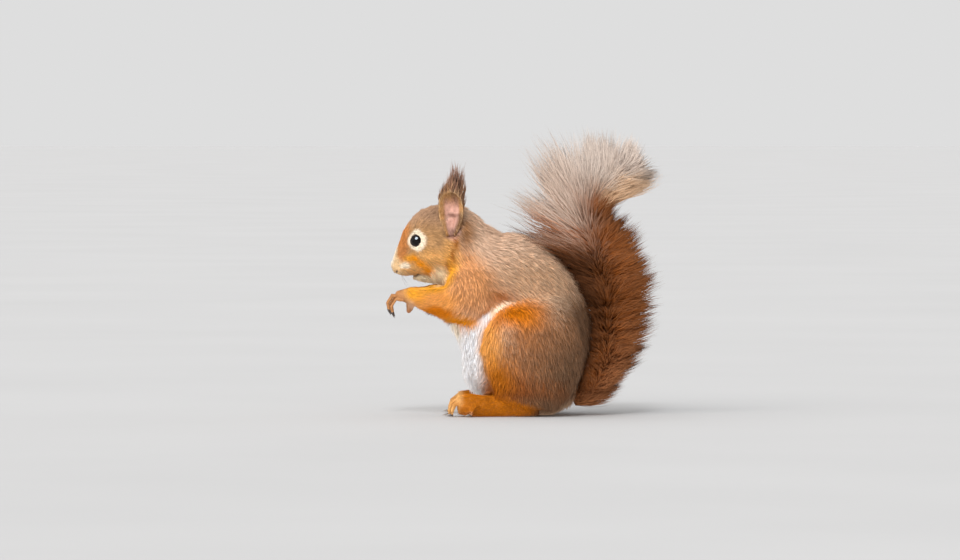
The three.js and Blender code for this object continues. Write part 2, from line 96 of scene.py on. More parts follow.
FLESH = ["head", "lower_jaw", "neck", "trunk"] + paired(
    "upper_arm", "forearm", "hand", "thigh", "hind_foot"
)
TAIL = ["tail_root", "tail_lower", "tail_middle", "tail_bend", "tail_plume"]

# Which solids each piece of the coat grows on.
COAT_GROUPS = {
    "face": ["head", "lower_jaw"],
    "shoulders": ["neck"] + paired("upper_arm"),
    "forearms": paired("forearm", "hand"),
    "back": ["trunk"],
    "belly": ["trunk"],
    "thigh_left": ["thigh_left"],
    "thigh_right": ["thigh_right"],
    "feet": paired("hind_foot"),
}

# Coat length in millimetres over each part: centre, half sizes, edge, length, lift in degrees.
# Everything on the animal is given for the side at +Y, and the other side mirrors it.
COAT_BASE = (7.5, 15)
COAT_LENGTHS = [
    ((-58, 0, 110), (26, 30, 30), 0.25, (4.2, 13)),
    ((-74, 4, 102), (16, 16, 20), 0.3, (2.4, 11)),
    ((-82, 4, 96), (7, 9, 9), 0.3, (1.2, 10)),
    ((-52, 16, 92), (10, 12, 12), 0.3, (5.5, 16)),
    ((-67.5, 13, 112), (8, 9, 8), 0.2, (1.7, 12)),
    ((-64, 4, 86), (11, 9, 5), 0.25, (2.0, 10)),
    ((-40, 0, 58), (16, 20, 34), 0.3, (9.5, 20)),
    ((-34, 24, 80), (18, 14, 18), 0.3, (5.0, 13)),
    ((-56, 20, 72), (15, 18, 14), 0.25, (3.6, 12)),
    ((-78, 9, 72), (13, 10, 13), 0.25, (1.1, 8)),
    ((-84, 9, 69.5), (6, 10, 7), 0.25, (0.6, 5)),
    ((40, 0, 30), (18, 34, 30), 0.3, (9.0, 18)),
    ((-18, 27, 6), (38, 16, 10), 0.25, (2.4, 10)),
    ((-42, 27, 5), (12, 16, 8), 0.25, (1.0, 7)),
]

# How the coat lies: a place on the animal and the way that the hair points there.
COAT_LIE = [
    ((-84, 0, 97), (0.5, 0.1, 0.8)),
    ((-82, 5, 93), (0.8, 0.4, -0.2)),
    ((-78, 0, 110), (0.45, 0.0, 0.9)),
    ((-76, 9, 100), (0.9, 0.2, 0.05)),
    ((-73, 0, 120), (0.6, 0.0, 0.8)),
    ((-73, 9, 112), (-0.1, 0.3, 0.9)),
    ((-68, 13, 118), (0.7, 0.1, 0.7)),
    ((-61, 16, 112), (0.95, 0.1, -0.1)),
    ((-67, 13, 105), (0.8, 0.2, -0.5)),
    ((-64, 0, 130), (0.95, 0.0, 0.3)),
    ((-52, 0, 134), (1.0, 0.0, 0.0)),
    ((-60, 17, 98), (0.9, 0.1, -0.35)),
    ((-52, 19, 108), (0.85, 0.1, -0.5)),
    ((-66, 5, 85), (1.0, 0.1, -0.1)),
    ((-54, 12, 88), (0.75, 0.1, -0.65)),
    ((-38, 0, 133), (0.9, 0.0, -0.4)),
    ((-36, 16, 120), (0.75, 0.1, -0.65)),
    ((-40, 20, 104), (0.55, 0.1, -0.85)),
    ((-52, 0, 80), (0.3, 0.0, -0.95)),
    ((-48, 8, 66), (0.1, 0.0, -1.0)),
    ((-40, 0, 50), (-0.15, 0.0, -1.0)),
    ((-36, 12, 34), (-0.1, 0.1, -1.0)),
    ((-26, 0, 16), (0.2, 0.0, -0.9)),
    ((-30, 28, 92), (0.35, 0.1, -0.95)),
    ((-30, 31, 78), (0.1, 0.0, -1.0)),
    ((-42, 29, 70), (-0.6, -0.1, -0.75)),
    ((-56, 24, 72), (-0.95, -0.2, -0.25)),
    ((-68, 14, 76), (-1.0, -0.2, -0.05)),
    ((-84, 9, 78), (-0.9, 0.0, -0.5)),
    ((-87, 9, 70), (0.0, 0.0, -1.0)),
    ((-20, 0, 119), (0.95, 0.0, -0.25)),
    ((-14, 20, 108), (0.85, 0.1, -0.45)),
    ((0, 0, 115), (1.0, 0.0, -0.1)),
    ((14, 0, 109), (0.9, 0.0, -0.45)),
    ((6, 26, 92), (0.75, 0.1, -0.65)),
    ((-14, 28, 84), (0.75, 0.1, -0.55)),
    ((28, 0, 96), (0.7, 0.0, -0.7)),
    ((38, 0, 78), (0.35, 0.0, -0.9)),
    ((30, 26, 78), (0.35, 0.1, -0.9)),
    ((43, 0, 55), (0.05, 0.0, -1.0)),
    ((42, 14, 30), (0.1, 0.0, -1.0)),
    ((-8, 38, 70), (0.45, 0.0, -0.85)),
    ((-22, 36, 50), (0.1, 0.0, -1.0)),
    ((8, 44, 55), (0.25, 0.0, -0.95)),
    ((4, 43, 30), (0.2, 0.0, -1.0)),
    ((32, 38, 44), (0.15, 0.0, -1.0)),
    ((2, 38, 12), (0.25, 0.0, -0.95)),
    ((-16, 36, 18), (-0.3, 0.1, -0.9)),
    ((-10, 27, 13), (-1.0, 0.0, -0.1)),
    ((-34, 27, 14), (-1.0, 0.0, -0.15)),
    ((-50, 27, 6), (-0.8, 0.0, -0.6)),
]

# Colours by name, as a painter would mix them.
PALETTE = {
    "back": ("Grizzled back", (214, 176, 148)),
    "side": ("Flank and hip", (196, 152, 116)),
    "crown": ("Top of the head", (168, 132, 104)),
    "face": ("Face", (188, 144, 98)),
    "bridge": ("Bridge of the nose", (192, 124, 68)),
    "cheek": ("Cheek", (230, 172, 104)),
    "muzzle": ("Muzzle", (232, 194, 146)),
    "throat": ("Jaw and throat", (255, 236, 200)),
    "stripe": ("Stripe under the eye", (236, 148, 24)),
    "golden": ("Golden", (240, 166, 50)),
    "cream": ("Cream", (250, 232, 206)),
    "white": ("Belly white", (244, 246, 252)),
    # Painted shade for the crease of the fur behind the cheek.
    "crease": ("Crease of the jaw", (166, 104, 44)),
    "shoulder": ("Shoulder", (216, 150, 96)),
    "forearm": ("Forearm", (236, 160, 84)),
    "hand": ("Back of the hand", (192, 134, 84)),
    "orange": ("Orange", (216, 122, 10)),
    "light": ("Front of the thigh", (238, 162, 78)),
    "thigh": ("Thigh", (154, 102, 64)),
    "rust": ("Rust", (148, 80, 30)),
    "rump": ("Rump", (112, 80, 56)),
    "foot": ("Foot", (188, 108, 14)),
    "ear": ("Back of the ear", (160, 112, 72)),
    "wisp": ("Tuft of the ear", (144, 111, 96)),
    "pink": ("Bare skin", (192, 146, 130)),
    # Partly painted shade: the nostrils and the line of the mouth, over the lips' own dark skin.
    "dark": ("Nostrils and lips", (58, 34, 28)),
    "tail": ("Tail", (143, 78, 26)),
    "tail_deep": ("Depth of the tail", (60, 29, 6)),
    "tail_edge": ("Edge of the tail", (120, 78, 50)),
    "plume": ("Plume", (198, 183, 172)),
    "plume_root": ("Root of the plume", (194, 158, 136)),
    "plume_band": ("Band under the plume", (246, 204, 164)),
}

# Markings, each laid over the ones before it: colour, centre, half sizes, edge.
MARKINGS = [
    ("side", (10, 30, 84), (34, 30, 22), 0.5),
    ("crown", (28, 34, 72), (17, 20, 16), 0.9),
    ("thigh", (42, 10, 40), (20, 44, 36), 0.5),
    ("rump", (38, 14, 56), (19, 44, 24), 0.4),
    ("thigh", (10, 42, 42), (27, 26, 27), 0.4),
    ("rump", (30, 38, 22), (20, 26, 30), 0.5),
    ("rust", (-4, 36, 14), (30, 26, 16), 0.4),
    ("rump", (14, 38, 7), (22, 26, 12), 0.6),
    ("light", (-21, 38, 50), (8, 22, 20), 0.5),
    ("foot", (-16, 38, 29), (9, 20, 12), 0.8),
    ("white", (-37, 0, 37), (20, 32, 37), 0.15),
    ("white", (-46, 0, 66), (12, 14, 16), 0.3),
    ("orange", (-6, 40, 67.5), (17, 24, 8), 0.7),
    ("rust", (-17, 30, 78.5), (9, 12, 3), 0.6),
    ("white", (-28, 26, 57), (4, 16, 5), 0.3),
    ("white", (-25, 27, 61.5), (2.8, 16, 3.6), 0.3),
    ("white", (-22, 29, 65.5), (2.8, 16, 2.8), 0.3),
    ("cream", (-18.5, 30, 68.8), (3, 16, 2.1), 0.3),
    ("cream", (-15, 31, 71), (3, 14, 1.8), 0.35),
    ("cream", (-11.5, 31, 72.7), (2.6, 14, 1.2), 0.5),
    ("shoulder", (-34, 26, 84), (15, 20, 17), 0.45),
    ("shoulder", (-44, 18, 96), (14, 18, 14), 0.45),
    ("throat", (-54, 0, 78), (12, 14, 12), 0.3),
    ("forearm", (-54, 22, 73), (16, 20, 12), 0.35),
    ("golden", (-54, 18, 84), (10, 10, 5), 0.5),
    ("golden", (-69, 14, 79), (9, 14, 6), 0.7),
    ("orange", (-54, 26, 66.5), (12, 14, 4), 0.5),
    ("stripe", (-38, 28, 62), (12, 14, 4), 0.5),
    ("cream", (-50, 10, 58), (12, 10, 6), 0.3),
    ("hand", (-83, 9, 72), (11, 14, 12), 0.4),
    ("face", (-62, 0, 108), (26, 26, 24), 0.25),
    ("crown", (-60, 0, 127), (20, 17, 11), 0.5),
    ("bridge", (-76, 4, 112), (5, 9, 9), 0.5),
    ("cheek", (-58, 18, 98), (12, 12, 8), 0.5),
    ("cheek", (-47.5, 19, 103), (6.5, 9, 10), 0.5),
    ("golden", (-47.5, 19, 93), (5.5, 9, 10), 0.6),
    ("golden", (-51, 14, 88), (5, 9, 8), 0.5),
    # Painted shade along the crease of the fur behind the cheek, below the ear.
    ("crease", (-43.5, 19, 112), (2.2, 8, 5), 0.7),
    ("crease", (-46.5, 19, 104), (1.9, 8, 5), 0.7),
    ("crease", (-50, 19, 97), (1.9, 8, 4), 0.7),
    ("muzzle", (-78, 4, 95), (8.5, 9, 8), 0.3),
    ("bridge", (-77.5, 5.5, 103), (3, 5, 4), 0.6),
    ("cream", (-82, 0, 98), (3, 3.5, 8), 0.5),
    ("cheek", (-70, 12, 93), (8, 9, 4), 0.6),
    ("cream", (-75.5, 7, 96.5), (3, 4, 2.6), 0.5),
    ("golden", (-73.5, 12, 101.2), (3.4, 8, 2.0), 0.8),
    ("stripe", (-70, 13, 99.8), (3.4, 8, 2.0), 0.8),
    ("stripe", (-66, 14, 97.4), (3.4, 8, 2.1), 0.8),
    ("stripe", (-61.5, 15, 94.4), (3.6, 8, 2.4), 0.8),
    ("throat", (-62, 4, 86.4), (12, 12, 3.8), 0.3),
    ("throat", (-54.5, 15, 90), (5.5, 9, 6), 0.5),
    ("cream", (-67.6, 15, 111.4), (5.8, 9, 6.4), 0.15),
    # Painted shade in the mouth's line and corner, in the nostril and down the split of the nose and
    # lip, over the lips' own dark skin.
    ("dark", (-70.0, 5, 89.5), (2.2, 9, 0.5), 0.5),
    ("dark", (-67.8, 8, 90.5), (1.6, 7, 0.6), 0.5),
    ("dark", (-80.0, 3.6, 92.2), (1.3, 1.8, 0.9), 0.4),
    ("dark", (-83.0, 0, 93.2), (1.2, 1.0, 1.6), 0.5),
    ("ear", (-37, 16, 120), (4.5, 9, 11), 0.5),
    ("pink", (-46, 18, 119.5), (4.4, 9, 6.6), 0.4),
    ("foot", (-22, 27, 8), (34, 16, 9), 0.2),
    ("cheek", (-40.5, 27, 12), (3.5, 13, 5), 0.6),
    ("cheek", (-47, 27, 4), (6, 16, 6), 0.5),
    ("thigh", (-73, 7.5, 67), (3, 4, 3), 0.3),
]

# Places without hair: centre, half sizes.
BARE_PLACES = [
    ((-80.0, 3.6, 92.2), (1.5, 2.0, 1.0)),
    ((-83.4, 0, 93.2), (1.6, 1.4, 1.8)),
    ((-70.0, 5, 89.5), (2.2, 9, 0.5)),
    ((-67.8, 8, 90.5), (1.4, 7, 0.5)),
    ((-73, 7.5, 67), (3, 4, 2.8)),
    ((-46, 18, 119.5), (3.6, 9, 5.8)),
]

# The tail's bone line, and how its hair leaves it on the side of the back and on the far side:
# place, then forward hair (x, z, length), then rearward hair (x, z, length).
TAIL_LINE = [
    ((32, 10), (-0.2, 1.0, 12), (0.9, 0.1, 18)),
    ((46, 18), (-0.6, 0.75, 20), (0.92, 0.3, 26)),
    ((54, 38), (-0.85, 0.5, 28), (0.95, 0.3, 31)),
    ((55, 62), (-0.85, 0.52, 30), (0.95, 0.3, 32)),
    ((53, 86), (-0.93, 0.36, 36), (0.9, 0.42, 32)),
    ((47, 106), (-0.92, 0.38, 48), (0.8, 0.55, 28)),
    ((43, 122), (-0.75, 0.66, 46), (0.6, 0.75, 20)),
    ((45, 136), (-0.42, 0.9, 44), (0.92, 0.3, 28)),
    ((53, 147), (-0.1, 1.0, 34), (0.97, 0.16, 30)),
    ((64, 153), (0.25, 0.97, 29), (0.99, 0.05, 27)),
    ((71, 157), (0.5, 0.86, 26), (0.99, 0.1, 22)),
]

# Places where one form of the body runs smoothly into the next: centre, half sizes.
BLENDS = [
    ((14, 28, 76), (30, 16, 17)),
    ((-12, 26, 86), (16, 16, 20)),
    ((-34, 16, 100), (16, 16, 18)),
    ((30, 28, 62), (16, 18, 30)),
    ((-46, 8, 92), (12, 12, 10)),
    ((-2, 30, 14), (30, 12, 10)),
]

# Small forms of the face: centre, half sizes, how far the skin stands out.
FACE_FORMS = [
    ((-80.4, 3.7, 92.2), (1.4, 1.6, 1.0), -1.5),  # nostril
    ((-83.0, 0.0, 95.2), (2.0, 2.2, 2.2), 0.3),  # tip of the nose
    ((-82.9, 0.0, 91.4), (1.6, 0.5, 2.0), -0.7),  # split of the upper lip
    ((-76.0, 6.0, 92.6), (5.0, 3.0, 2.6), 0.8),  # whisker pad
    ((-70.8, 6.0, 89.0), (4.0, 7.0, 0.9), -1.4),  # mouth
    ((-68.0, 13.5, 117.6), (5.0, 3.0, 1.6), 0.7),  # brow
    ((-46.0, 18.0, 119.0), (4.6, 8.0, 7.4), -6.0),  # hollow in front of the ear's floor
    ((-73.0, 11.0, 107.0), (3.0, 3.0, 2.4), -0.6),  # hollow at the eye's front corner
]

# Parts of the skin in the order that they are joined, and how it is worked, in millimetres.
SKIN_PARTS = ["body", *paired("ear"), *paired("lid"), "tail"]
SWELL = 0.35  # how far each solid swells so that it closes onto its neighbours
DIGIT_SLIM = 0.3  # how far the digits are drawn in so that they stay apart
DIGITS_FROM = {"hand": -74, "hind_foot": -39}  # where the digits start along the animal
NO_DIGITS = -999  # a place in front of the whole animal, for solids without digits
PULL_IN, PUSH_OUT = 0.55, -0.45  # share of the way to its neighbours that a vertex is drawn, and back
EVEN_ROUNDS, BLEND_ROUNDS = 24, 160  # how often the whole skin and its creases are evened
THIN_BIAS = 4.0  # how strongly the skin keeps its faces under short hair
BELLY_ENDS = -16  # where the belly's coat gives way to the back's
OFF_FLOOR = 0.1  # how far claws and hair keep above the floor
MAP_ANGLE, MAP_MARGIN = 75, 0.001  # the sharpest bend inside an island of the map, and its margin
BLACK = np.zeros(3)

# Ears, eyes, lids and tail: rows, columns and sides of their meshes, and their sizes in millimetres.
EAR_ROWS, EAR_COLUMNS = 26, 23
EAR_HEIGHT, EAR_WIDTH, EAR_CUP, EAR_SHELL = 28.5, 16.2, 6.2, 1.2
EAR_WIDEST = 0.56  # share of the height
EAR_ROOT = (9.3, 16.8, -1.4)  # behind the solid's front, beside the middle, and above the solid's base
EYE_SIDES, EYE_RINGS = 48, 28
LID_STEPS, LID_SIDES, LID_THICK = 40, 8, 0.42
LID_COLOUR = (0.17, 0.10, 0.08)
TAIL_RINGS, TAIL_SIDES, GUIDE_STEPS = 96, 16, 160
LONGEST_HAIR = 80
PAST_FACE = 0.01  # a step past one face before the next is looked for

# Stretches of the tail's hair by shares of its length, and the solids that each takes over.
TAIL_STRETCHES = {
    "tail_lower": (0, 0.33, ["tail_root", "tail_lower"]),
    "tail_middle": (0.33, 0.55, ["tail_middle"]),
    "tail_bend": (0.55, 0.74, ["tail_bend"]),
    "tail_plume": (0.74, 1.01, ["tail_plume"]),
}

# Kinds of tuft: thickness, then for each kind its strands by rings, bow, curl, place, width, length.
TUFTS = {
    "fine": (
        0.05,
        [
            [(1, 0, 0.4, -0.5, 0.9, 1.0), (1, 0, -0.3, 0.6, 0.8, 0.8)],
            [(1, 0, 0.8, -0.4, 0.8, 0.9), (1, 0, 0.5, 0.5, 0.9, 1.05)],
            [(1, 0, -0.6, -0.5, 0.8, 0.85), (1, 0, -0.2, 0.5, 0.8, 1.0)],
        ],
    ),
    "short": (
        0.04,
        [
            [(2, 0.08, 0.5, 0, 1.0, 1.0)],
            [(2, 0.12, -0.8, 0, 0.9, 1.05)],
            [(1, 0, 1.0, -0.8, 0.8, 1.0), (1, 0, -0.6, 0.8, 0.8, 0.85)],
            [(1, 0, 0.6, -0.8, 0.8, 0.9), (1, 0, 1.2, 0.7, 0.8, 1.05)],
            [(1, 0, -1.0, -0.7, 0.8, 0.95), (1, 0, -0.5, 0.8, 0.8, 1.1)],
        ],
    ),
    "long": (
        0.008,
        [
            [(3, 0.03, 1.5, 0, 1.0, 1.0)],
            [(3, 0.07, 3.5, 0, 0.9, 0.95)],
            [(3, 0.09, -3.5, 0, 0.9, 1.03)],
            [(2, -0.02, 1.0, 0, 0.9, 1.1)],
            [(2, 0.05, -1.5, 0, 0.9, 0.9)],
        ],
    ),
}
SOFTNESS = {"fine": 1.1, "short": 1.1, "long": 0.8}  # how far the shading follows the skin's
PATCH_WIDTH = 0.003

# Finishes for each material, and for one piece of its own: darkening of the roots (the hair's
# darker base and painted shade deep in the coat), share of the tips' colour and where along the hair
# it starts, speckle and roughness.
COAT_FINISHES = {
    "coat": (0.74, 0.75, 0.45, 0.66, 0.65),
    "orange_coat": (0.74, 0.7, 0.45, 0.4, 0.65),
    "coat_belly": (0.96, 0.7, 0.45, 0.12, 0.7),
    "ear_coat": (0.72, 0.8, 0.45, 0.5, 0.65),
    "tail_coat": (0.54, 0.9, 0.45, 0.5, 0.6),
    "plume_coat": (0.88, 0.95, 0.12, 0.5, 0.6),
}

# Pieces of the coat: slot, tuft kind, tufts per square millimetre, jitter, span of lengths.
COATS = {
    "face": ("coat", "fine", 3.6, 0.10, (0.8, 1.1)),
    "shoulders": ("coat", "short", 2.5, 0.10, (0.75, 1.12)),
    "forearms": ("orange_coat", "fine", 2.8, 0.10, (0.8, 1.1)),
    "back": ("coat", "short", 2.2, 0.11, (0.7, 1.12)),
    "belly": ("coat", "short", 2.3, 0.13, (0.6, 1.1)),
    "thigh_left": ("coat", "short", 2.5, 0.11, (0.7, 1.12)),
    "thigh_right": ("coat", "short", 2.5, 0.11, (0.7, 1.12)),
    "feet": ("orange_coat", "fine", 2.2, 0.10, (0.8, 1.1)),
    "ears": ("ear_coat", "short", 4.6, 0.14, (0.5, 1.15)),
    "tail_lower": ("tail_coat", "long", 6.2, 0.09, (0.55, 1.15)),
    "tail_middle": ("tail_coat", "long", 11.5, 0.09, (0.55, 1.15)),
    "tail_bend": ("plume_coat", "long", 18.0, 0.08, (0.5, 1.15)),
    "tail_plume": ("plume_coat", "long", 23.0, 0.08, (0.5, 1.1)),
}

# What the growing of a coat is given, and the fields that its finished hair keeps.
COAT_INPUTS = {
    "Geometry": "Geometry",
    "Tufts": "Collection",
    "Where": "String",
    "Finish": "Material",
    **dict.fromkeys(["Kinds", "Seed"], "Int"),
    **dict.fromkeys(["Density", "Jitter", "Shortest", "Longest"], "Float"),
    **dict.fromkeys(["Length", "Patch", "Softness"], "Float"),
}
COAT_FIELDS = (
    "marking", "tipping", "shade", "patch", "OFBake", "custom_normal", "sharp_face", "material_index"
)

# Where each claw leaves its digit, in the box of its hand or foot on the side at +Y, and its way.
HAND_CLAWS = [
    ((0.194, 0.118, 0.270), (0.25, 0.0, -1.0)),
    ((0.107, 0.344, 0.327), (0.25, 0.0, -1.0)),
    ((0.126, 0.568, 0.308), (0.25, 0.0, -1.0)),
    ((0.243, 0.787, 0.223), (0.25, 0.0, -1.0)),
]
FOOT_CLAWS = [
    ((0.204, 0.074, 0.095), (-1.0, -0.31, 0.3)),
    ((0.071, 0.181, 0.095), (-1.0, -0.16, 0.3)),
    ((0.051, 0.464, 0.095), (-1.0, 0.0, 0.3)),
    ((0.084, 0.758, 0.095), (-1.0, 0.19, 0.3)),
    ((0.279, 0.911, 0.095), (-1.0, 0.71, 0.3)),
]
# For each limb: its claws, how their points bend away, their thickness and length in millimetres,
# and how pale their points are.
CLAWS = {
    "hand": (HAND_CLAWS, (0.6, 0.0, 0.0), 0.62, 4.0, 0.35),
    "hind_foot": (FOOT_CLAWS, (0.0, 0.0, -1.6), 0.8, 5.2, 1.0),
}
CLAW_TAPER = [1.0, 1.02, 0.96, 0.82, 0.6, 0.35, 0.08]
CLAW_SIDES = 8
CLAW_INSIDE = 1.2  # how far a claw starts inside its digit
CLAW_SOCKET, CLAW_BARE = 1.9, 1.3  # how far round a claw its digit is shaped, and is bare

# Whiskers, and the bristles over the eyes and on the cheeks: root, way, length.
WHISKERS = [
    ((-79, 6.2, 97), (-0.25, 0.9, 0.25), 26),
    ((-78.2, 6.9, 95.5), (-0.1, 0.95, 0.1), 32),
    ((-77.8, 7.1, 94), (-0.1, 0.95, -0.12), 34),
    ((-77.4, 7.0, 92.6), (-0.05, 0.9, -0.3), 30),
    ((-76.5, 7.6, 96.5), (0.15, 0.95, 0.2), 34),
    ((-76, 7.8, 95), (0.2, 0.95, 0.0), 36),
    ((-75.5, 7.6, 93.4), (0.2, 0.9, -0.2), 32),
    ((-69, 11, 119), (0.1, 0.6, 0.8), 18),
    ((-66, 12, 119.5), (0.3, 0.6, 0.75), 16),
    ((-60, 15, 99), (0.4, 0.9, -0.1), 18),
]
WHISKER_STEPS, WHISKER_SIDES = 9, 5
WHISKER_ROOT, WHISKER_TIP = 0.085, 0.012
WHISKER_SAG = (0.28, 0, -0.16)  # share of the length that the tip is bent back and down

# Far soft lamps: the way each shines, how wide it is in degrees, its strength and its colour.
LAMPS = {
    "key": ((0.5, 1.0, -1.0), 50, 1.8, (1.0, 0.98, 0.95)),
    "window": ((0.03, 0.66, -0.75), 12, 1.0, (0.93, 0.96, 1.0)),
    "top": ((0.1, -0.3, -1.0), 70, 0.6, (0.97, 0.98, 1.0)),
    "front": ((1.0, 0.35, -0.25), 60, 0.5, (1.0, 0.98, 0.96)),
    "bounce": ((0.3, 0.6, 0.8), 110, 1.1, (1.0, 0.93, 0.85)),
    "glint": ((0.36, 0.64, -0.69), 44, 34.0, (0.78, 0.88, 1.0)),
}
SKY, SKY_STRENGTH = (0.86, 0.86, 0.86, 1), 0.85
FLOOR_REACH = 40.0
LENS = 234
VIEW_CENTRE, VIEW_AWAY, VIEW_RISE = (-27.1, 0, 86.4), 4000, 1.5


# ---------------------------------------------------------------- places and fields


def at(x, y, z):
    """A place in millimetres from the middle of the animal's base, in the frame's metres."""
    return np.array([x, y, z], float) * MM


def box(name):
    """A node's lowest and highest corners."""
    return [np.array(corner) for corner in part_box(name)]


def spot(name, u, v, w):
    """A place in a node's box, by its shares of the way from the lowest corner to the highest."""
    low, high = box(name)
    return low + (high - low) * np.array([u, v, w])


def node_on(side, name):
    """The name of a pair's node on one side."""
    return f"{name}_{'left' if side < 0 else 'right'}"


def unit(vectors):
    """Vectors made one long."""
    return vectors / np.maximum(np.linalg.norm(vectors, axis=-1, keepdims=True), 1e-12)


def smooth(start, end, value):
    """0 before start and 1 after end, with an eased way between."""
    share = np.clip((value - start) / (end - start), 0, 1)
    return share * share * (3 - 2 * share)


def hump(value, middle, width):
    """1 in the middle, falling off smoothly over the width on both sides."""
    return np.exp(-(((value - middle) / width) ** 2))


def toward(values, target, share):
    """Values taken a share of the way to a target."""
    return values + (target - values) * share


def linear(colour):
    """A display colour as light."""
    colour = np.asarray(colour, float)
    return np.where(colour <= 0.04045, colour / 12.92, ((colour + 0.055) / 1.055) ** 2.4)


def painted(base, layers):
    """A colour with others laid over it in turn, each by its share at each point."""
    colours = np.tile(base, (len(layers[0][1]), 1))
    for colour, share in layers:
        colours = toward(colours, colour, share[:, None])
    return colours


def mirrored_side(points):
    """The same places on the side at +Y, and which side each was on."""
    side = np.where(points[:, 1] < 0, -1.0, 1.0)
    return points * np.stack([np.ones_like(side), side, np.ones_like(side)], axis=1), side


def from_centre(folded, centre, halves):
    """How far each place is from the middle of a patch, where 1 is the patch's edge."""
    return np.linalg.norm((folded - at(*centre)) / (np.array(halves) * MM), axis=1)


def layered(points, base, patches):
    """Lays each patch of a table over the values before it, with a soft edge."""
    folded, _ = mirrored_side(points)
    values = np.tile(np.asarray(base, float), (len(points), 1))
    for centre, halves, edge, value in patches:
        share = smooth(1 + edge, 1 - edge, from_centre(folded, centre, halves))[:, None]
        values = toward(values, np.asarray(value, float), share)
    return values


def covered(points, patches, outer, inner):
    """How far each point lies in any patch of a table: 1 within the inner edge, 0 past the outer."""
    folded, _ = mirrored_side(points)
    share = np.zeros(len(points))
    for centre, halves in patches:
        share = np.maximum(share, smooth(outer, inner, from_centre(folded, centre, halves)))
    return share


def drift(points, cell, seed):
    """A vector from -1 to 1 that wanders over the surface, about one turn for each cell."""
    count = 19
    table = np.random.RandomState(seed).uniform(-1, 1, (count, count, count, 3))
    scaled = points / (cell * MM) + 100
    low = np.floor(scaled).astype(int)
    share = scaled - low
    share = share * share * (3 - 2 * share)
    total = np.zeros_like(points)
    for corner in np.ndindex(2, 2, 2):
        step = np.array(corner)
        weight = np.prod(np.where(step, share, 1 - share), axis=1)
        x, y, z = ((low + step) % count).T
        total += table[x, y, z] * weight[:, None]
    return total


def guided(points, guides):
    """The direction at each point, blended from the guides near it."""
    folded, side = mirrored_side(points)
    places = np.array([at(*place) for place, _ in guides])
    ways = unit(np.array([way for _, way in guides], float))
    far = np.linalg.norm(folded[:, None, :] - places[None], axis=2) / MM
    weight = 1 / (far * far + 9) ** 2
    mixed = weight @ ways
    mixed[:, 1] *= side
    return unit(mixed)


# ---------------------------------------------------------------- node trees


class Link:
    """An output of a node, on which sums are written as Python expressions."""

    def __init__(self, wires, socket):
        self.wires = wires
        self.socket = socket

    def maths(self, operation, other, flipped=False):
        """The sum of this output and another output or number."""
        pair = [other, self] if flipped else [self, other]
        return self.wires.add("ShaderNodeMath", {"operation": operation}, dict(enumerate(pair)))

    def __add__(self, other):
        return self.maths("ADD", other)

    def __sub__(self, other):
        return self.maths("SUBTRACT", other)

    def __rsub__(self, other):
        return self.maths("SUBTRACT", other, True)

    def __mul__(self, other):
        return self.maths("MULTIPLY", other)

    __radd__ = __add__
    __rmul__ = __mul__


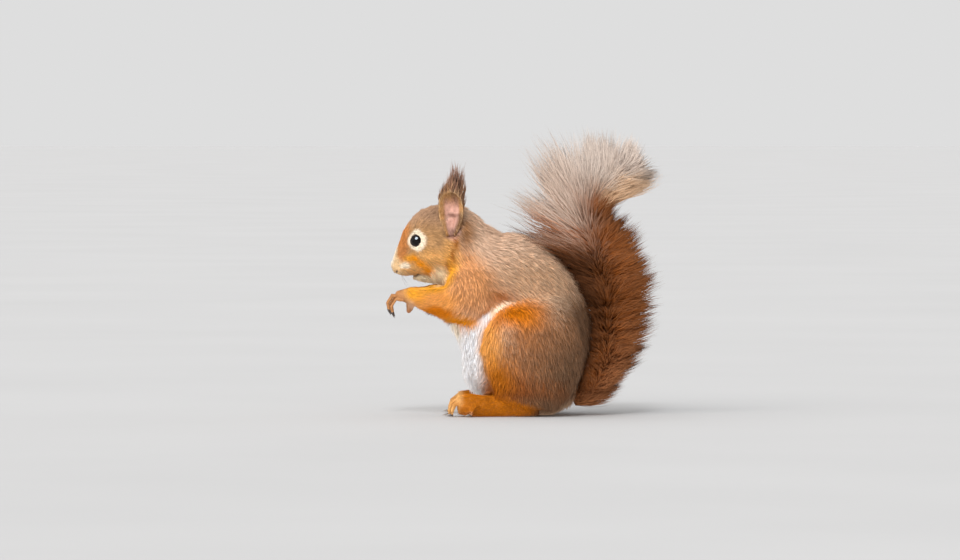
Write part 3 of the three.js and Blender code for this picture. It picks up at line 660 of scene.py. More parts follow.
class Wires:
    """Builds a node tree: each call adds a node, sets it up, and fills or joins its inputs."""

    def __init__(self, tree):
        self.tree = tree
        tree.nodes.clear()

    def add(self, kind, settings=None, inputs=None, output=0):
        """Adds a node of a kind with its settings, and fills its inputs with values or links."""
        node = self.tree.nodes.new(kind)
        for name, value in (settings or {}).items():
            setattr(node, name, value)
        for name, value in (inputs or {}).items():
            socket = self.input_of(node, name)
            if isinstance(value, Link):
                self.tree.links.new(value.socket, socket)
            else:
                socket.default_value = value
        self.last = node
        return Link(self, node.outputs[output]) if node.outputs else None

    @staticmethod
    def input_of(node, name):
        """The input of a node with this number, identifier or name."""
        if isinstance(name, int):
            return node.inputs[name]
        found = [s for s in node.inputs if s.identifier == name] or [
            s for s in node.inputs if s.name == name and s.enabled
        ]
        return found[0]

    def attribute(self, name, output="Fac"):
        """A field of the mesh that is being shaded."""
        return self.add("ShaderNodeAttribute", {"attribute_name": name}, output=output)

    def own_place(self):
        """Places in the piece's own space."""
        return self.add("ShaderNodeTexCoord", output="Object")

    def mix(self, share, first, second, blend="MIX"):
        """A colour taken a share of the way to another."""
        self.add(
            "ShaderNodeMix",
            {"data_type": "RGBA", "blend_type": blend},
            {"Factor_Float": share, "A_Color": first, "B_Color": second},
        )
        made = [s for s in self.last.outputs if s.identifier == "Result_Color"][0]
        return Link(self, made)

    def dimmed(self, colour, value):
        """A colour times a value."""
        gain = self.add("ShaderNodeCombineColor", None, {0: value, 1: value, 2: value})
        return self.mix(1.0, colour, gain, "MULTIPLY")

    def ease(self, value, start, end):
        """0 before start and 1 after end, eased."""
        return self.add(
            "ShaderNodeMapRange",
            {"interpolation_type": "SMOOTHSTEP"},
            {"Value": value, "From Min": start, "From Max": end},
        )

    def noise(self, scale, detail, place):
        """Soft noise over a place."""
        inputs = {"Vector": place, "Scale": scale, "Detail": detail}
        return self.add("ShaderNodeTexNoise", None, inputs)

    def relief(self, strength, depth, height):
        """A normal that shows small heights, with their depth in metres."""
        inputs = {"Strength": strength, "Distance": depth, "Height": height}
        return self.add("ShaderNodeBump", None, inputs)

    def vector(self, operation, *inputs):
        """Vector maths, where SCALE takes a vector and a number."""
        keys = [0, "Scale"] if operation == "SCALE" else [0, 1]
        return self.add("ShaderNodeVectorMath", {"operation": operation}, dict(zip(keys, inputs)))

    def random(self, kind, low, high, seed):
        """A random value of a kind for each point."""
        suffix = {"FLOAT_VECTOR": "", "FLOAT": "_001", "INT": "_002"}[kind]
        self.add(
            "FunctionNodeRandomValue",
            {"data_type": kind},
            {f"Min{suffix}": low, f"Max{suffix}": high, "Seed": seed},
        )
        return Link(self, [s for s in self.last.outputs if s.enabled][0])

    def named(self, name, kind="FLOAT"):
        """A field that is stored on the geometry under a name."""
        return self.add(
            "GeometryNodeInputNamedAttribute", {"data_type": kind}, {"Name": name}, "Attribute"
        )

    def store(self, geometry, name, value, kind, domain="POINT"):
        """The geometry with a field stored under a name."""
        return self.add(
            "GeometryNodeStoreNamedAttribute",
            {"data_type": kind, "domain": domain},
            {"Geometry": geometry, "Name": name, "Value": value},
        )


def new_material(name):
    """An empty material and the wires of its tree."""
    material = bpy.data.materials.new(name)
    material.use_nodes = True
    return material, Wires(material.node_tree)


def finish_material(wires, **sockets):
    """Ends a material in a principled shader with these sockets."""
    named = {name.replace("_", " "): value for name, value in sockets.items()}
    shader = wires.add("ShaderNodeBsdfPrincipled", None, named)
    wires.add("ShaderNodeOutputMaterial", None, {"Surface": shader})


# ---------------------------------------------------------------- materials


def coat_material(name, root_dark, tip_share, tip_start, speckle, roughness):
    """Hair darker at its roots (its darker base, and painted shade deep in the coat), with tips of its
    own colour and a shade for each tuft.
    """
    material, wires = new_material(name)
    base = wires.attribute("marking", "Color")
    tips = wires.attribute("tipping", "Color")
    patch = wires.attribute("patch", "Vector")
    along = wires.add("ShaderNodeSeparateXYZ", None, {0: patch}, "Y")
    shade = wires.attribute("shade")
    # Darker towards the roots: partly the hair's darker base, partly painted shade deep in the coat.
    depth = wires.ease(along, 0.0, 0.55) * (1 - root_dark) + root_dark
    tipped = wires.mix(wires.ease(along, tip_start, tip_start + 0.55) * tip_share, base, tips)
    finish_material(
        wires,
        Base_Color=wires.dimmed(tipped, depth * (shade * speckle + (1 - speckle / 2))),
        Roughness=shade * 0.2 + roughness,
        Specular_IOR_Level=0.1,
    )
    return material


def skin_material():
    """Skin under short hair: the coat's markings, fine streaks, and a low relief, dimmer where hair
    covers it than where it is bare, as painted shade under the coat.
    """
    material, wires = new_material("skin")
    place = wires.own_place()
    bare = wires.attribute("bare")
    streaks = wires.noise(1400, 4, place)
    blotches = wires.noise(260, 3, place)
    # Haired skin is dimmer than bare skin: painted shade under the coat.
    value = streaks * 0.5 + blotches * 0.3 + (0.42 + bare * 0.25)
    finish_material(
        wires,
        Base_Color=wires.dimmed(wires.attribute("marking", "Color"), value),
        Roughness=0.8 - bare * 0.35,
        Specular_IOR_Level=0.3,
        Normal=wires.relief(0.5, 0.0002, streaks),
    )
    return material


def eye_material():
    """A wet, almost black eye with a brown depth."""
    material, wires = new_material("eye")
    cloud = wires.noise(500, 3, wires.own_place())
    colour = wires.mix(cloud, (0.002, 0.0015, 0.0015, 1), (0.006, 0.003, 0.002, 1))
    finish_material(wires, Base_Color=colour, Roughness=cloud * 0.02 + 0.06, Specular_IOR_Level=0.14)
    return material


def claw_material():
    """Horn, dark at the root and paler at the point."""
    material, wires = new_material("claw")
    grain = wires.noise(1500, 3, wires.own_place())
    paler = wires.ease(wires.attribute("along"), 0.1, 1.0)
    colour = wires.mix(paler, (0.045, 0.032, 0.028, 1), (0.34, 0.30, 0.27, 1))
    relief = wires.relief(0.3, 0.0001, grain)
    finish_material(wires, Base_Color=colour, Roughness=grain * 0.2 + 0.2, Normal=relief)
    return material


def whisker_material():
    """Dark bristle."""
    material, wires = new_material("whisker")
    along = wires.attribute("along")
    colour = wires.mix(along, (0.03, 0.02, 0.016, 1), (0.16, 0.12, 0.10, 1))
    finish_material(wires, Base_Color=colour, Roughness=along * 0.2 + 0.35)
    return material


def floor_material():
    """A plain pale studio floor."""
    material, wires = new_material("floor")
    cloud = wires.noise(3, 4, wires.own_place())
    colour = wires.mix(cloud, (0.420, 0.417, 0.416, 1), (0.472, 0.469, 0.468, 1))
    finish_material(wires, Base_Color=colour, Roughness=0.85)
    return material


# ---------------------------------------------------------------- meshes


def added(name, data):
    """A new object in the scene that shows the data."""
    made = bpy.data.objects.new(name, data)
    bpy.context.scene.collection.objects.link(made)
    return made


def new_piece(name, mesh, material, replaced=()):
    """Shows a finished mesh as a piece that rides on the body."""
    piece = added(name, mesh)
    if material:
        mesh.materials.clear()
        mesh.materials.append(material)
    mesh.polygons.foreach_set("use_smooth", np.ones(len(mesh.polygons), bool))
    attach(piece, "root")
    if replaced:
        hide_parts(*replaced)
    return piece


def move_points(mesh, points):
    """Puts a mesh's vertices at these points."""
    mesh.vertices.foreach_set("co", points.astype(np.float32).ravel())
    mesh.update()


def set_attribute(mesh, name, values, kind="FLOAT", domain="POINT"):
    """Stores values on a mesh under a name."""
    field = {"FLOAT": "value", "FLOAT_VECTOR": "vector", "FLOAT_COLOR": "color"}[kind]
    values = np.asarray(values, np.float32)
    if kind == "FLOAT_COLOR" and values.shape[1] == 3:
        values = np.hstack([values, np.ones((len(values), 1), np.float32)])
    layer = mesh.attributes.new(name, kind, domain)
    layer.data.foreach_set(field, np.ascontiguousarray(values).ravel())


def points_of(mesh):
    """A mesh's vertices as an array."""
    flat = np.empty(len(mesh.vertices) * 3, np.float32)
    mesh.vertices.foreach_get("co", flat)
    return flat.reshape(-1, 3).astype(float)


def normals_of(mesh):
    """A mesh's vertex normals as an array."""
    flat = np.empty(len(mesh.vertices) * 3, np.float32)
    mesh.vertex_normals.foreach_get("vector", flat)
    return flat.reshape(-1, 3).astype(float)


def mesh_of(name, points, faces):
    """A new mesh from vertices and faces."""
    mesh = bpy.data.meshes.new(name)
    mesh.from_pydata(np.asarray(points).tolist(), [], faces)
    return mesh


def changed_by(modifier_of, mesh):
    """The mesh that a modifier makes of another, where modifier_of adds it to an object."""
    body = added(mesh.name, mesh)
    modifier_of(body)
    done = body.evaluated_get(bpy.context.evaluated_depsgraph_get())
    made = bpy.data.meshes.new_from_object(done)
    bpy.data.objects.remove(body)
    bpy.data.meshes.remove(mesh)
    return made


def grid_faces(rings, sides, closed=True):
    """Quads between rings of vertices."""
    faces = []
    for ring in range(rings - 1):
        for side in range(sides if closed else sides - 1):
            a = ring * sides + side
            b = ring * sides + (side + 1) % sides
            faces.append((a, b, b + sides, a + sides))
    return faces


def tube(places, radii, sides):
    """Rings round a line of places, closed at both ends by a fan."""
    places = np.asarray(places, float)
    ways = unit(np.gradient(places, axis=0))
    across = unit(np.cross(ways[0], [0.13, 1, 0.07]))
    points = []
    for place, way, radius in zip(places, ways, radii):
        across = unit(across - way * (across @ way))
        up = np.cross(way, across)
        for side in range(sides):
            angle = 2 * math.pi * side / sides
            points.append(place + radius * (across * math.cos(angle) + up * math.sin(angle)))
    faces = grid_faces(len(places), sides)
    for end, order in ((0, -1), (len(places) - 1, 1)):
        points.append(places[end])
        middle = len(points) - 1
        for side in range(sides):
            pair = [end * sides + side, end * sides + (side + 1) % sides][::order]
            faces.append((*pair, middle))
    return np.array(points), faces


def curve_through(rows, count):
    """Rows of numbers at even steps of a smooth curve through the rows of a table."""
    rows = np.asarray(rows, float)
    padded = np.vstack([2 * rows[0] - rows[1], rows, 2 * rows[-1] - rows[-2]])
    out = []
    for step in np.linspace(0, len(rows) - 1, count):
        index = min(int(step), len(rows) - 2)
        t = step - index
        a, b, c, d = padded[index : index + 4]
        bend = 2 * a - 5 * b + 4 * c - d
        twist = 3 * b - a - 3 * c + d
        out.append(0.5 * (2 * b + (c - a) * t + bend * t * t + twist * t**3))
    return np.array(out)


def joined(shapes):
    """Several shapes as one list of vertices, one of faces, and the number of each vertex's shape."""
    points, faces, parts = [], [], []
    for number, (shape_points, shape_faces) in enumerate(shapes):
        first = sum(len(p) for p in points)
        points.append(shape_points)
        faces += [tuple(first + i for i in face) for face in shape_faces]
        parts.append(np.full(len(shape_points), number))
    return np.vstack(points), faces, np.concatenate(parts)


def outwards(points, faces):
    """The same closed shape with its faces turned outwards."""
    shape = bmesh.new()
    corners = [shape.verts.new(p) for p in points]
    for face in faces:
        shape.faces.new([corners[i] for i in face])
    shape.verts.index_update()
    bmesh.ops.recalc_face_normals(shape, faces=shape.faces[:])
    faces = [tuple(v.index for v in face.verts) for face in shape.faces]
    shape.free()
    return points, faces


def solids_tree(names):
    """A search tree over the faces of some solids, and the number, in the list, of each face's solid."""
    corners, faces, owner = [], [], []
    for number, name in enumerate(names):
        mesh = frame["nodes"][name].data
        first = sum(len(c) for c in corners)
        corners.append(points_of(mesh))
        faces += [[first + i for i in polygon.vertices] for polygon in mesh.polygons]
        owner += [number] * len(mesh.polygons)
    return BVHTree.FromPolygons(np.vstack(corners).tolist(), faces), np.array(owner)


# ---------------------------------------------------------------- skin of the body


def welded(name):
    """The vertices and faces of a solid, welded, and swollen onto its neighbours."""
    solid = bmesh.new()
    solid.from_mesh(frame["nodes"][name].data)
    bmesh.ops.remove_doubles(solid, verts=solid.verts[:], dist=1e-5)
    solid.normal_update()
    start = DIGITS_FROM.get(name.rsplit("_", 1)[0], NO_DIGITS) * MM
    points = []
    for v in solid.verts:
        digit = float(smooth(start + 2 * MM, start - 2 * MM, v.co.x))
        points.append(v.co + v.normal * (SWELL * (1 - digit) - DIGIT_SLIM * digit) * MM)
    faces = [tuple(v.index for v in face.verts) for face in solid.faces]
    solid.free()
    return np.array(points), faces


def claw_roots_of(limb, name):
    """Where each claw of a hand or foot starts, and its way."""
    side = SIDES[name]
    for (u, v, w), way in CLAWS[limb][0]:
        root = spot(f"{limb}_{name}", u, v if side > 0 else 1 - v, w)
        yield root, unit(np.array(way) * [1, side, 1])


def claw_roots():
    """Where every claw starts, and its way."""
    return [root for limb in CLAWS for name in SIDES for root in claw_roots_of(limb, name)]


def tips_rounded(points):
    """Draws the skin back from the claws to the tips of the digits."""
    for root, way in claw_roots():
        ahead = (points - root) @ way
        aside = np.linalg.norm(points - root - ahead[:, None] * way, axis=1)
        near = (ahead > 0) & (ahead < 6 * MM) & (aside < CLAW_SOCKET * MM)
        points[near] -= way * ahead[near, None] * 0.9
    return points


def remeshed(points, faces, voxel):
    """A shape's own outer surface, in small even quads."""

    def add_remesh(body):
        remesh = body.modifiers.new("Remesh", "REMESH")
        remesh.mode = "VOXEL"
        remesh.voxel_size = voxel

    return changed_by(add_remesh, mesh_of("flesh", points, faces))


def thinned(mesh, keep, ratio):
    """The mesh with fewer faces where keep, for each vertex, is low."""

    def add_decimate(body):
        group = body.vertex_groups.new(name="thin")
        for level in np.unique(np.round(keep, 1)):
            which = np.flatnonzero(np.round(keep, 1) == level)
            group.add(which.tolist(), float(1 - level), "REPLACE")
        thin = body.modifiers.new("Thin", "DECIMATE")
        thin.ratio = ratio
        thin.vertex_group = group.name
        thin.vertex_group_factor = THIN_BIAS

    return changed_by(add_decimate, mesh)


def neighbours_pulled(mesh, points, rounds, share, hold_size=True):
    """Draws each vertex towards its neighbours by its share, and back out every other round."""
    ends = np.empty(len(mesh.edges) * 2, int)
    mesh.edges.foreach_get("vertices", ends)
    ends = ends.reshape(-1, 2)
    one = np.concatenate([ends[:, 0], ends[:, 1]])
    other = np.concatenate([ends[:, 1], ends[:, 0]])
    count = np.maximum(np.bincount(one, minlength=len(points)), 1)[:, None]
    for turn in range(rounds):
        total = np.stack(
            [np.bincount(one, points[other, axis], len(points)) for axis in range(3)], axis=1
        )
        pull = PUSH_OUT if hold_size and turn % 2 else PULL_IN
        points = points + (total / count - points) * pull * share[:, None]
    return points


def sculpted(points, normals):
    """Small forms of the face: nostrils, the line of the mouth, and the hollow at each eye's corner."""
    folded, _ = mirrored_side(points)
    moves = np.zeros(len(points))
    for centre, halves, amount in FACE_FORMS:
        moves += amount * MM * np.exp(-(from_centre(folded, centre, halves) ** 2) * 1.5)
    return points + normals * moves[:, None]


def body_shape(sizes):
    """The flesh of the body as one closed shape, inside the solids by the depth of the coat."""
    points, faces, _ = joined([welded(name) for name in FLESH])
    body = remeshed(points, faces, sizes.grain)
    points = tips_rounded(points_of(body))
    length, lift = layered(points, COAT_BASE, COAT_LENGTHS).T
    points = neighbours_pulled(body, points, EVEN_ROUNDS, 0.25 + 0.75 * smooth(1.6, 5.0, length))
    creases = covered(points, BLENDS, 1.15, 0.75)
    points = neighbours_pulled(body, points, BLEND_ROUNDS, creases, False)
    move_points(body, points)
    depth = length * np.sin(np.radians(lift)) * 0.8 + 0.1
    points = points - normals_of(body) * depth[:, None] * MM
    move_points(body, points)
    points = sculpted(points, normals_of(body))
    points[:, 2] = np.maximum(points[:, 2], 0.0)
    move_points(body, points)
    body = thinned(body, smooth(5.5, 3.0, length), sizes.skin_share)
    return points_of(body), [tuple(polygon.vertices) for polygon in body.polygons]


# ---------------------------------------------------------------- ears, lids and tail of the skin


def ear_grid():
    """For the points of an ear: how far up it and across it each is, and 1 on the inner face."""
    up, across = np.meshgrid(
        np.linspace(0, 1, EAR_ROWS), np.linspace(-1, 1, EAR_COLUMNS), indexing="ij"
    )
    inner = np.repeat([1.0, 0.0], up.size)
    return np.tile(up.ravel(), 2), np.tile(across.ravel(), 2), inner


def ear_axes(side):
    """The ways up an ear, out of its hollow, and across it towards the back."""
    up = unit(np.array([-0.02, 0.13 * side, 1.0]))
    face = unit(np.array([-0.3, 0.95 * side, 0.05]))
    face = unit(face - up * (face @ up))
    across = np.cross(up, face) * side
    return up, face, across * np.sign(across[0])


def ear_half_width(u):
    """Half the width of an ear at each height, with a round top."""
    below = 1 - 0.8 * np.clip((EAR_WIDEST - u) / 0.62, 0, 1) ** 1.8
    top = np.clip(u - EAR_WIDEST, 0, 1) / (1 - EAR_WIDEST)
    above = np.sqrt(np.clip(1 - top**2.3, 0.0004, 1))
    return EAR_WIDTH / 2 * np.where(u < EAR_WIDEST, below, above)


def ear_depth(u, v, inner):
    """How far out each point of an ear stands: a cup with a pleat, two folds and a rolled front rim."""
    cup = (1 - np.abs(v) ** 2.2) * (1 - 0.62 * u) * EAR_CUP * np.clip(u * 2.2, 0.35, 1)
    pleat = 2.2 * hump(v, 0.30 + 0.25 * u, 0.15) * np.sin(np.pi * np.clip(u * 1.6, 0, 1))
    upper_fold = 2.6 * hump(v, 0.15, 0.45) * hump(u, 0.51, 0.06)
    lower_fold = 1.6 * hump(v, -0.35, 0.22) * hump(u, 0.30, 0.07)
    roll = 2.75 * np.clip(-v - 0.6, 0, 1) * (1 - u)
    lean = -1.2 * np.sin(np.pi * u * 0.9)
    rim = 1 - 0.7 * np.maximum(np.abs(v) ** 5, u**9)
    return -cup + pleat + upper_fold + lower_fold + roll + lean + (inner - 0.5) * EAR_SHELL * rim


def ear_rim():
    """The numbers of the points round the edge of an ear's sheet, in order."""
    last = EAR_COLUMNS - 1
    return (
        list(range(EAR_COLUMNS))
        + [row * EAR_COLUMNS + last for row in range(1, EAR_ROWS)]
        + [(EAR_ROWS - 1) * EAR_COLUMNS + column for column in range(last - 1, -1, -1)]
        + [row * EAR_COLUMNS for row in range(EAR_ROWS - 2, 0, -1)]
    )


def ear_shape(side):
    """A thin upright leaf, cupped towards the outside."""
    low, _ = box(node_on(side, "ear"))
    back, aside, rise = EAR_ROOT
    root = np.array([low[0] + back * MM, side * aside * MM, low[2] + rise * MM])
    up, face, across = ear_axes(side)
    u, v, inner = ear_grid()
    points = (
        root
        + up * (EAR_HEIGHT * u * MM)[:, None]
        + across * (ear_half_width(u) * v * MM)[:, None]
        + face * (ear_depth(u, v, inner) * MM)[:, None]
    )
    sheet = grid_faces(EAR_ROWS, EAR_COLUMNS, closed=False)
    second = EAR_ROWS * EAR_COLUMNS
    faces = sheet + [tuple(second + i for i in quad[::-1]) for quad in sheet]
    rim = ear_rim()
    for a, b in zip(rim, rim[1:] + rim[:1]):
        faces.append((b, a, second + a, second + b))
    return outwards(points, faces)


def eye_axis(side):
    """The way an eye looks."""
    return unit(np.array([-0.36, 0.92 * side, 0.14]))


def eye_centre(side):
    """The middle of an eyeball, and its radius."""
    low, high = box(node_on(side, "eye"))
    return (low + high) / 2, (high - low)[0] / 2


def lid_shape(side):
    """The bare rim of an eye, drawn out a little to its corners."""
    centre, radius = eye_centre(side)
    axis = eye_axis(side)
    along = unit(np.cross(np.cross(axis, [1, 0, 0.28]), axis))
    up = np.cross(axis, along)
    points = []
    for angle in np.arange(LID_STEPS) * 2 * math.pi / LID_STEPS:
        corner = abs(math.cos(angle)) ** 6
        reach = radius * (0.83 + 0.14 * corner)
        out = along * math.cos(angle) + up * math.sin(angle) * 0.92
        depth = math.sqrt(max(radius**2 - (reach * 0.98) ** 2, 0))
        place = centre + axis * depth + out * reach
        thick = LID_THICK * MM * (1 + 0.3 * corner)
        for turn in np.arange(LID_SIDES) * 2 * math.pi / LID_SIDES:
            points.append(place + thick * (out * math.cos(turn) + axis * math.sin(turn)))
    faces = [tuple(i % len(points) for i in face) for face in grid_faces(LID_STEPS + 1, LID_SIDES)]
    return np.array(points), faces


def tail_shape():
    """The flesh of the tail: a slim tapering tube along its bone line."""
    line = curve_through([place for place, _, _ in TAIL_LINE], TAIL_RINGS)
    places = np.array([at(x, 0, z) for x, z in line])
    share = np.linspace(0, 1, len(line))
    radii = (4.6 - 2.9 * share) * MM * np.sqrt(np.clip((1.02 - share) * 14, 0, 1))
    return tube(places, radii, TAIL_SIDES)


def build_skin(sizes):
    """The whole skin as one mesh, and the number in SKIN_PARTS of each vertex's part."""
    shapes = [body_shape(sizes)]
    shapes += [ear_shape(side) for side in SIDES.values()]
    shapes += [lid_shape(side) for side in SIDES.values()]
    shapes.append(tail_shape())
    points, faces, parts = joined(shapes)
    mesh = mesh_of("skin", points, faces)
    mesh.update()
    return mesh, parts


# ---------------------------------------------------------------- painting of the skin


def colours_at(points, paint):
    """The markings over the body."""
    patches = [(centre, halves, edge, paint[name]) for name, centre, halves, edge in MARKINGS]
    wander = drift(points, 7, 3) * 1.2 * MM + drift(points, 2.5, 4) * 0.5 * MM
    return layered(points + wander, paint["back"], patches)


def bareness(points):
    """How bare the skin is at each point: the nose, the lips, the pads and round each claw."""
    bare = covered(points, BARE_PLACES, 1.1, 0.8)
    for root, _ in claw_roots():
        far = np.linalg.norm(points - root, axis=1) / MM
        bare = np.maximum(bare, smooth(CLAW_SOCKET, CLAW_BARE, far))
    return bare


def body_coat(points, normals, paint):
    """For each point of the body: the coat's colours, way, length and width, and how bare it is."""
    length, lift = layered(points, COAT_BASE, COAT_LENGTHS).T
    lift = np.radians(lift)[:, None]
    marking = colours_at(points, paint)
    pure = 1 - marking.min(axis=1) / marking.max(axis=1)
    bright = smooth(0.0, 0.3, marking.mean(axis=1))
    grizzle = (0.4 * smooth(3.5, 7, length) * smooth(0.98, 0.75, pure) * bright)[:, None]
    ways = guided(points, COAT_LIE)
    flat = unit(ways - normals * np.einsum("ij,ij->i", ways, normals)[:, None])
    flat = unit(flat + drift(points, 3.0, 11) * 0.16 + drift(points, 9.0, 12) * 0.1)
    return {
        "marking": marking,
        "tipping": marking * (1.1 - grizzle) + paint["cream"] * grizzle,
        "lie": unit(flat * np.cos(lift) + normals * np.sin(lift)),
        "reach": length,
        "breadth": np.interp(length, [1.2, 4, 8], [0.30, 0.42, 0.53]),
        "bare": bareness(points),
    }


def body_groups(points, is_body, bare):
    """For each piece of the body's coat, how thick it grows at each point."""
    folded, _ = mirrored_side(points)
    eye_middle, eye_radius = eye_centre(1)
    eye_far = np.linalg.norm(folded - eye_middle, axis=1)
    off_eyes = smooth(eye_radius * 0.99, eye_radius * 1.04, eye_far)
    off_soles = smooth(0.6 * MM, 2.2 * MM, points[:, 2])
    tree, owner = solids_tree(FLESH)
    nearest = owner[[tree.find_nearest(Vector(p))[2] for p in points[is_body]]]
    groups = {}
    for name, nodes in COAT_GROUPS.items():
        grown = np.zeros(len(points))
        grown[is_body] = np.isin(nearest, [FLESH.index(node) for node in nodes])
        groups[name] = grown * off_eyes * off_soles * (1 - bare)
    front = points[:, 0] < BELLY_ENDS * MM
    groups["belly"] *= front
    groups["back"] *= ~front
    return groups


def ear_colours(points, rim, tuft, paint):
    """The colours of an ear's points: brown behind, and pink in front with painted light and shade on
    its rim, and painted shade in its lower hollow and under its fold.
    """
    u, v, inner = ear_grid()
    back_rim = rim * smooth(0.3, 0.6, v)
    lit = rim * 0.5 * smooth(0.2, -0.4, v) + 0.7 * back_rim * hump(u, 0.62, 0.1)
    shaded = 0.35 * back_rim * smooth(0.52, 0.38, u)
    brink = smooth(0.9, 1.0, np.maximum(np.abs(v), u)) * (0.5 + 0.6 * drift(points, 2, 27)[:, 0])
    downy = 0.6 * smooth(0.60, 0.82, u) * (1 - rim) * inner
    # Painted shade under the fold across the ear's middle.
    fold_shade = 0.5 * hump(u, 0.45, 0.05) * hump(v, -0.05, 0.5)
    # Painted shade in the lower hollow of the cup.
    hollow = 0.25 * smooth(0.45, 0.05, u) * (1 - rim)
    cloud = 0.16 * drift(points, 1.8, 29)[:, 0]
    front = painted(
        paint["pink"],
        [
            (paint["ear"], rim),
            (paint["cheek"], lit),
            (BLACK, shaded),
            (paint["muzzle"], np.clip(brink, 0, 1)),
            (paint["ear"], downy),
        ],
    )
    front *= (1 + cloud - hollow - fold_shade)[:, None]
    marking = toward(painted(paint["ear"], [(paint["wisp"], tuft)]), front, inner[:, None])
    tipping = toward(marking * (1.2 - 0.1 * tuft[:, None]), paint["cream"], 0.35 * inner[:, None])
    return marking, tipping


def ear_coat(points, normals, side, paint):
    """For an ear's points: the same values as for the body's, and how thick the coat grows."""
    u, v, inner = ear_grid()
    up, face, across = ear_axes(side)
    rim = np.maximum(smooth(0.50, 0.80, np.abs(v)), smooth(0.70, 0.90, u))
    outer = 1 - inner
    tall = smooth(0.42, 0.80, u)
    tuft = outer * tall * (0.35 + 0.65 * smooth(1.2, 0.2, np.abs(v - 0.15)))
    way = up + across * (0.22 * v * (1 - tuft) - 0.30 * (v - 0.35) * tuft)[:, None]
    way -= face * (0.35 * outer * (1 - tuft) + 0.05 * tuft)[:, None]
    way += face * (inner * 0.3)[:, None] - across * (0.5 * v * rim * inner)[:, None]
    flat = way - normals * np.clip(np.einsum("ij,ij->i", way, normals), None, 0)[:, None]
    loose = drift(points, 3, 21 + side) * (0.12 + 0.14 * tuft[:, None])
    wisps = 0.85 + 0.35 * drift(points, 2.2, 23)[:, 0]
    marking, tipping = ear_colours(points, rim, tuft, paint)
    down = 0.3 * smooth(0.60, 0.82, u) * (1 - rim) * inner + 0.3 * smooth(0.22, 0.05, u) + 0.05
    thick = np.where(inner > 0.5, np.maximum(rim, down), 1.0) * (1 - 0.35 * outer * tall)
    coat = {
        "marking": marking,
        "tipping": tipping,
        "lie": unit(unit(flat) + normals * 0.16 * (1 - tuft[:, None]) + loose),
        "reach": 2.2 + 1.4 * inner * (1 - rim) + 0.6 * rim * inner + 19.0 * tuft * tall * wisps,
        "breadth": 0.30 + 0.10 * tuft - 0.12 * inner,
        "bare": inner * (1 - rim),
    }
    return coat, thick


def tail_guides(points):
    """For each point of the tail's flesh: the hair's way and length, how far along the tail it is,
    and how far it faces the rear and the side."""
    rows = [[*place, *forward, *rearward] for place, forward, rearward in TAIL_LINE]
    line = curve_through(rows, GUIDE_STEPS)
    places = np.array([at(x, 0, z) for x, z in line[:, :2]])
    near = np.argmin(((points[:, None, [0, 2]] - places[None][:, :, [0, 2]]) ** 2).sum(2), axis=1)
    along = unit(np.gradient(places, axis=0))[near]
    none = np.zeros(len(points))
    rear = np.stack([along[:, 2], none, -along[:, 0]], axis=1)
    out = unit(points - places[near])
    rearward = smooth(-0.6, 0.6, np.einsum("ij,ij->i", out, rear))[:, None]
    sideways = np.abs(out[:, 1:2]) ** 1.5
    ahead = unit(np.stack([line[near, 2], none, line[near, 3]], axis=1))
    behind = unit(np.stack([line[near, 5], none, line[near, 6]], axis=1))
    way = ahead * (1 - rearward) + behind * rearward
    way = way * (1 - 0.45 * sideways) + np.array([0, 1, 0]) * np.sign(out[:, 1:2]) * sideways * 0.75
    length = line[near, 4] * (1 - rearward[:, 0]) + line[near, 7] * rearward[:, 0]
    return unit(way), length, near / (len(line) - 1), rearward[:, 0], sideways[:, 0]


def tail_reach(points, ways, length):
    """How long the hair is at each point, so that its tips keep to the tail's outline."""
    tree, _ = solids_tree(TAIL)
    reach = []
    for place, way, most in zip(points, ways, length * MM):
        start, way = Vector(place), Vector(way)
        last = 0.0
        while last < LONGEST_HAIR * MM:
            hit, _, _, far = tree.ray_cast(start, way)
            if hit is None:
                break
            last += far + PAST_FACE * MM
            start = hit + way * PAST_FACE * MM
        reach.append(min(last, most * 1.25) if last > 0.3 * most else 0.3 * most)
    return np.array(reach) / MM


def tail_colours(share, rearward, paint):
    """The colours of the tail's hair at its roots and its tips, from the tail's root to its plume."""
    plume = smooth(0.59, 0.74, share - 0.06 * rearward)
    wing = smooth(0.42, 0.55, share) * (1 - rearward) ** 1.6
    pale = np.maximum(plume, wing)
    deep = smooth(0.10, 0.36, share) * smooth(0.62, 0.46, share) * (1 - rearward) * (1 - pale)
    brown = wing * (1 - plume)
    wedge = hump(share, 0.63, 0.06) * smooth(0.15, 0.4, rearward) * (1 - plume)
    # The plume's pale colour at the roots of its heart, laid brighter than the plume as painted light
    # over the shade among the roots.
    heart_painted_light = hump(share, 0.75, 0.09) * plume
    band = smooth(0.61, 0.68, share) * smooth(0.95, 0.84, share)
    under = 0.8 * band * smooth(0.4, 0.9, rearward)
    low = smooth(0.36, 0.12, share) * rearward
    root = painted(
        paint["tail"],
        [
            (paint["plume_root"], pale),
            (paint["tail_deep"], deep),
            (paint["tail"] * 1.5, brown * 0.8),
            (paint["plume"] * 1.15, heart_painted_light),
            (paint["plume_band"], under),
            (paint["tail_edge"] * 1.3, low * 0.8),
        ],
    )
    tips = painted(
        paint["tail_edge"],
        [
            (paint["plume"], pale),
            (paint["tail_deep"], deep * 0.7),
            (paint["side"], brown * 0.2),
            (paint["tail"] * 0.8, wedge),
            (paint["plume_band"], under),
        ],
    )
    middle = 0.3 * hump(share, 0.46, 0.12) * rearward
    lift = (1 + 0.5 * low + 0.2 * smooth(0.88, 1.0, share) + middle)[:, None]
    return root * lift, tips * lift


